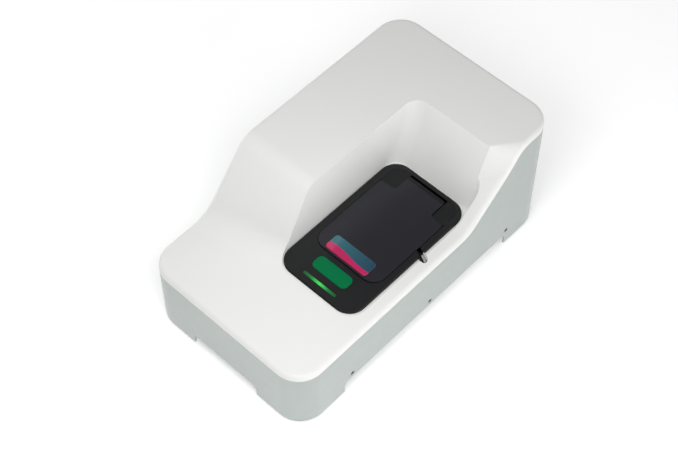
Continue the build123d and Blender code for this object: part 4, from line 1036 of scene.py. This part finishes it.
@dataclass
class Workshop:
    """Makes finished pieces out of the frame's nodes."""

    materials: dict[str, Material]
    slots: dict[str, str] = field(init=False)
    bodies: dict[str, str] = field(init=False)
    weld: float = 0.002 * MM
    flat: float = math.radians(0.4)

    def __post_init__(self) -> None:
        """Reads each node's slot and body from the record."""
        record = frame["record"]
        self.slots = {part["node"]: part["material_slot"] for part in record["subparts"]}
        self.bodies = {}
        for body, members in record["behaviour"]["bodies"].items():
            self.bodies |= dict.fromkeys(members, body)

    def material_of(self, node: str) -> Material:
        """Material of a node's slot."""
        return self.materials[self.slots[node]]

    def dress(self, *nodes: str) -> None:
        """Gives nodes that keep their shape their slots' materials.

        Args:
            *nodes: Nodes to dress.
        """
        for node in nodes:
            held = frame["nodes"][node]
            if not held.material_slots:
                held.data.materials.append(self.material_of(node))
            for place in held.material_slots:
                place.material = self.material_of(node)

    def merged(self, mesh: bpy.types.Mesh) -> bmesh.types.BMesh:
        """Opens a mesh with its double points merged.

        Args:
            mesh: Mesh to read.

        Returns:
            The open mesh, which the caller frees.
        """
        shape = bmesh.new()
        shape.from_mesh(mesh)
        bmesh.ops.remove_doubles(shape, verts=shape.verts, dist=self.weld)
        return shape

    def islands(self, node: str) -> list[tuple[Vector, Vector]]:
        """Finds the separate solids of a node.

        Args:
            node: Node to look at.

        Returns:
            The lowest and the highest corner of each solid.
        """
        shape = self.merged(frame["nodes"][node].data)
        boxes = []
        left = set(shape.verts)
        while left:
            group, queue = set(), [left.pop()]
            while queue:
                point = queue.pop()
                group.add(point)
                for edge in point.link_edges:
                    other = edge.other_vert(point)
                    if other in left:
                        left.remove(other)
                        queue.append(other)
            spots = [point.co for point in group]
            low = Vector(min(spot[axis] for spot in spots) for axis in range(3))
            high = Vector(max(spot[axis] for spot in spots) for axis in range(3))
            boxes.append((low, high))
        shape.free()
        return sorted(boxes, key=lambda box: tuple(box[0]))

    def stand_in(self, piece: Piece, node: str) -> None:
        """Puts a finished piece in a node's place and on its body, and hides the node.

        Args:
            piece: Piece that takes the place.
            node: Node that gives it up.
        """
        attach(piece, self.bodies[node])
        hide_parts(node)
        LOG.info("piece %s on %s", piece.name, self.bodies[node])

    def screws(self, node: str, way: Triple | None, form: ScrewForm = ScrewForm()) -> None:
        """Grows a node's screws anew.

        Args:
            node: Node that holds the screws.
            way: Way in, or None for screws in both sides that point inwards along X.
            form: Sizes of the screws.
        """
        spots = []
        for low, high in self.islands(node):
            middle = (low + high) / 2
            inward = Vector(way) if way else Vector((-math.copysign(1, middle.x), 0, 0))
            length = abs((high - low).dot(inward))
            spots.append(ScrewSpot(middle - inward * length / 2, inward, length))
        self.stand_in(form.build(node + "_set", spots, self.material_of(node)), node)

    def refine(
        self, node: str, edge: float = 0.25 * MM, angle: float = 32.0, segments: int = 2
    ) -> Piece:
        """Stands a smooth piece with eased edges in for a node.

        Args:
            node: Node to stand in for.
            edge: Width of the easing along sharp edges in metres, or 0 for none.
            angle: Turn in degrees over which an edge counts as sharp.
            segments: Number of faces across an eased edge.

        Returns:
            The finished piece.
        """
        mesh = frame["nodes"][node].data.copy()
        mesh.name = node + "_skin"
        shape = self.merged(mesh)
        bmesh.ops.dissolve_limit(
            shape, angle_limit=self.flat, verts=shape.verts, edges=shape.edges
        )
        for face in shape.faces:
            face.smooth = True
        shape.to_mesh(mesh)
        shape.free()
        piece = bpy.data.objects.new(node + "_skin", mesh)
        bpy.context.scene.collection.objects.link(piece)
        if edge > 0:
            ease = piece.modifiers.new("eased_edges", "BEVEL")
            ease.width = edge
            ease.segments = segments
            ease.limit_method = "ANGLE"
            ease.angle_limit = math.radians(angle)
            ease.harden_normals = True
            ease.use_clamp_overlap = True
        weigh = piece.modifiers.new("even_shading", "WEIGHTED_NORMAL")
        weigh.keep_sharp = True
        mesh.set_sharp_from_angle(angle=math.radians(angle))
        mesh.materials.clear()
        mesh.materials.append(self.material_of(node))
        self.stand_in(piece, node)
        return piece


@dataclass
class Studio:
    """Pale floor, soft lights and the camera at the photograph's angle."""

    camera_at: Triple = (0.94097, -1.0290, 2.0713)
    azimuth: float = 43.26
    elevation: float = 54.86
    lens: float = 82.27
    sensor: float = 36.0
    far: float = 50.0
    floor_size: float = 12.0
    floor_cloud: float = 0.4
    floor_glow: float = 0.36
    air_strength: float = 0.25
    lit_point: Triple = (0.0, 0.0, 0.12)
    lamps: tuple[tuple[str, Triple, float, float], ...] = (
        ("right_light", (2.2, 0.2, 0.9), 1.6, 15.0),
        ("left_light", (-2.2, -0.2, 1.2), 1.8, 21.0),
        ("deck_light", (0.28, -0.46, 0.92), 0.4, 4.2),
        ("back_light", (1.6, 1.6, 1.3), 1.4, 7.0),
        ("corner_light", (0.95, -1.05, 0.16), 0.16, 0.22),
    )

    def camera(self) -> None:
        """Places the camera."""
        data = bpy.data.cameras.new("studio_camera")
        data.lens = self.lens
        data.sensor_width = self.sensor
        data.clip_end = self.far
        eye = bpy.data.objects.new("studio_camera", data)
        bpy.context.scene.collection.objects.link(eye)
        eye.location = self.camera_at
        eye.rotation_euler = (math.radians(90 - self.elevation), 0, math.radians(self.azimuth))
        bpy.context.scene.camera = eye

    def floor(self) -> None:
        """Lays the plain pale floor."""
        pen = Shader("studio_floor")
        cloud = pen.noise(self.floor_cloud, detail=2)
        pen.set(
            Base_Color=pen.blend(cloud, tone(251, 251, 251), tone(254, 254, 254)),
            Roughness=0.8,
            Emission_Color=(1, 1, 1, 1),
            Emission_Strength=self.floor_glow,
        )
        half = self.floor_size / 2
        corners = [(-half, -half, 0), (half, -half, 0), (half, half, 0), (-half, half, 0)]
        mesh = bpy.data.meshes.new("studio_floor")
        mesh.from_pydata(corners, [], [(0, 1, 2, 3)])
        ground = bpy.data.objects.new("studio_floor", mesh)
        mesh.materials.append(pen.material)
        bpy.context.scene.collection.objects.link(ground)

    def lamp(self, name: str, at: Triple, target: Triple, size: float, power: float) -> None:
        """Adds a soft square light.

        Args:
            name: Name of the light.
            at: Place of its middle.
            target: Point that it faces.
            size: Length of its side.
            power: Power in watts.
        """
        data = bpy.data.lights.new(name, "AREA")
        data.shape = "SQUARE"
        data.size = size
        data.energy = power
        lamp = bpy.data.objects.new(name, data)
        lamp.location = at
        lamp.rotation_euler = (Vector(target) - Vector(at)).to_track_quat("-Z", "Y").to_euler()
        bpy.context.scene.collection.objects.link(lamp)

    def lights(self) -> None:
        """Hangs the lights and sets the pale surroundings."""
        world = bpy.data.worlds.new("studio_air")
        world.use_nodes = True
        sky = world.node_tree.nodes["Background"]
        sky.inputs["Color"].default_value = (1, 1, 1, 1)
        sky.inputs["Strength"].default_value = self.air_strength
        bpy.context.scene.world = world
        for name, at, size, power in self.lamps:
            self.lamp(name, at, self.lit_point, size, power)

    def build(self) -> None:
        """Sets up the whole studio."""
        bpy.context.scene.view_settings.view_transform = "Standard"
        self.camera()
        self.floor()
        self.lights()


@dataclass
class Housing:
    """White cover, silver skirt, tray, feet and their screws."""

    shop: Workshop
    cover_edge: float = 0.4 * MM
    cover_angle: float = 20.0
    skirt_edge: float = 0.5 * MM

    def build(self) -> None:
        """Dresses the housing's pieces."""
        self.shop.refine("top_cover", self.cover_edge, self.cover_angle)
        self.shop.refine("side_skirt", self.skirt_edge)
        for node in ("base_tray", "rubber_feet"):
            self.shop.refine(node)
        self.shop.screws("skirt_screws", None)
        self.shop.screws("foot_screws", (0, 0, 1))


@dataclass
class LidUnit:
    """Black bezel with its lid, label, button and light bar."""

    shop: Workshop
    bezel_edge: float = 0.8 * MM
    lid_edge: float = 1.2 * MM
    lid_angle: float = 40.0
    lid_segments: int = 3
    button_travel: float = 2.0 * MM
    board_screw: ScrewForm = ScrewForm(2.4 * MM, 1.6 * MM, 1.2 * MM, 1.0 * MM)

    def build(self) -> None:
        """Dresses the lid unit's pieces."""
        bezel = self.shop.refine("lid_bezel", self.bezel_edge)
        bezel.data.materials[0] = self.shop.materials["bezel_plastic"]
        self.shop.refine("lid_shell", self.lid_edge, self.lid_angle, self.lid_segments)
        for node in ("hinge_blocks", "status_button", "light_bar", "lid_label", "hinge_pin"):
            self.shop.refine(node)
        self.shop.dress(
            "lid_liner", "lid_seal", "lid_magnets", "catch_plates", "cell_bay_tray",
            "indicator_board", "button_switch",
        )
        self.shop.screws("board_screws", (0, 0, 1), self.board_screw)
        self.springs()

    def springs(self) -> None:
        """Dresses the button's leaf springs, which the button presses down."""
        springs = self.shop.refine("button_springs", 0)
        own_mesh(springs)


@dataclass
class RearPanel:
    """Rear panel with its sockets, switch, gas port and fan."""

    shop: Workshop
    rotor: RotorForm = RotorForm()

    def build(self) -> None:
        """Dresses the rear panel's pieces."""
        for node in (
            "rear_panel", "power_inlet", "data_socket", "switch_frame", "power_rocker",
            "purge_port", "fan_frame",
        ):
            self.shop.refine(node)
        self.shop.screws("panel_screws", (0, -1, 0))
        low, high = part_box("fan_rotor")
        material = self.shop.material_of("fan_rotor")
        rotor = self.rotor.build("fan_rotor_bladed", (low + high) / 2, high.y - low.y, material)
        self.shop.stand_in(rotor, "fan_rotor")


@dataclass
class Optics:
    """Bench, laser, mirrors, wheels, lens, cell block and detectors."""

    shop: Workshop
    lead_screw: LeadScrewForm = LeadScrewForm()

    def build(self) -> None:
        """Dresses the optical pieces."""
        self.shop.dress(
            "bench_isolators", "optical_bench", "laser_tube", "laser_clamps", "laser_supply",
            "mirror_mounts", "steering_mirrors", "shutter_solenoid", "shutter_flag",
            "attenuator_wheel", "attenuator_motor", "splitter_mount", "beam_splitter",
            "lens_frame", "lens_motor", "lens_carriage", "measuring_lens", "cell_block",
            "thermoelectric_module", "heat_sink", "back_detector", "forward_detector",
            "filter_wheel", "filter_motor",
        )
        low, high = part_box("lead_screw")
        motor_end = Vector((low.x, (low.y + high.y) / 2, (low.z + high.z) / 2))
        material = self.shop.material_of("lead_screw")
        screw = self.lead_screw.build("lead_screw_threaded", motor_end, high.x - low.x, material)
        self.shop.stand_in(screw, "lead_screw")


@dataclass
class Electronics:
    """Shelf and main board."""

    shop: Workshop
    tile: float = 4.0 * MM
    small_parts: SmallPartsForm = SmallPartsForm()

    def build(self) -> None:
        """Dresses the electronics."""
        self.shop.dress("electronics_shelf", "main_board", "board_standoffs", "board_parts")
        ceramic = self.shop.materials["ceramic"]
        small = self.small_parts.build("small_board_parts", self.free_board(), ceramic)
        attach(small, "housing")
        LOG.info("piece %s on housing", small.name)

    def free_board(self) -> bpy.types.Mesh:
        """Finds the squares on top of the main board that no larger part stands on.

        Returns:
            A mesh of the free squares.
        """
        low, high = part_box("main_board")
        taken = self.shop.islands("board_parts") + self.shop.islands("board_standoffs")
        points, faces = [], []
        y = low.y + self.tile
        while y + self.tile < high.y:
            x = low.x + self.tile
            while x + self.tile < high.x:
                if all(self.clear(x, y, box_low, box_high) for box_low, box_high in taken):
                    base = len(points)
                    for dx, dy in ((0, 0), (1, 0), (1, 1), (0, 1)):
                        points.append((x + dx * self.tile, y + dy * self.tile, high.z))
                    faces.append((base, base + 1, base + 2, base + 3))
                x += self.tile
            y += self.tile
        mesh = bpy.data.meshes.new("free_board")
        mesh.from_pydata(points, [], faces)
        return mesh

    def clear(self, x: float, y: float, low: Vector, high: Vector) -> bool:
        """Tells whether a square keeps a square's width from a box.

        Args:
            x: Left edge of the square.
            y: Front edge of the square.
            low: Lowest corner of the box.
            high: Highest corner of the box.

        Returns:
            True if nothing is near.
        """
        beside = x + 2 * self.tile < low.x or x - self.tile > high.x
        return beside or y + 2 * self.tile < low.y or y - self.tile > high.y


def main() -> None:
    """Builds the studio and every sub-assembly in order."""
    logging.basicConfig(level=logging.INFO, format="%(name)s: %(message)s")
    Studio().build()
    shop = Workshop(finishes())
    for assembly in (Housing, LidUnit, RearPanel, Optics, Electronics):
        assembly(shop).build()
        LOG.info("%s done", assembly.__name__)


if __name__ == "__main__":
    main()
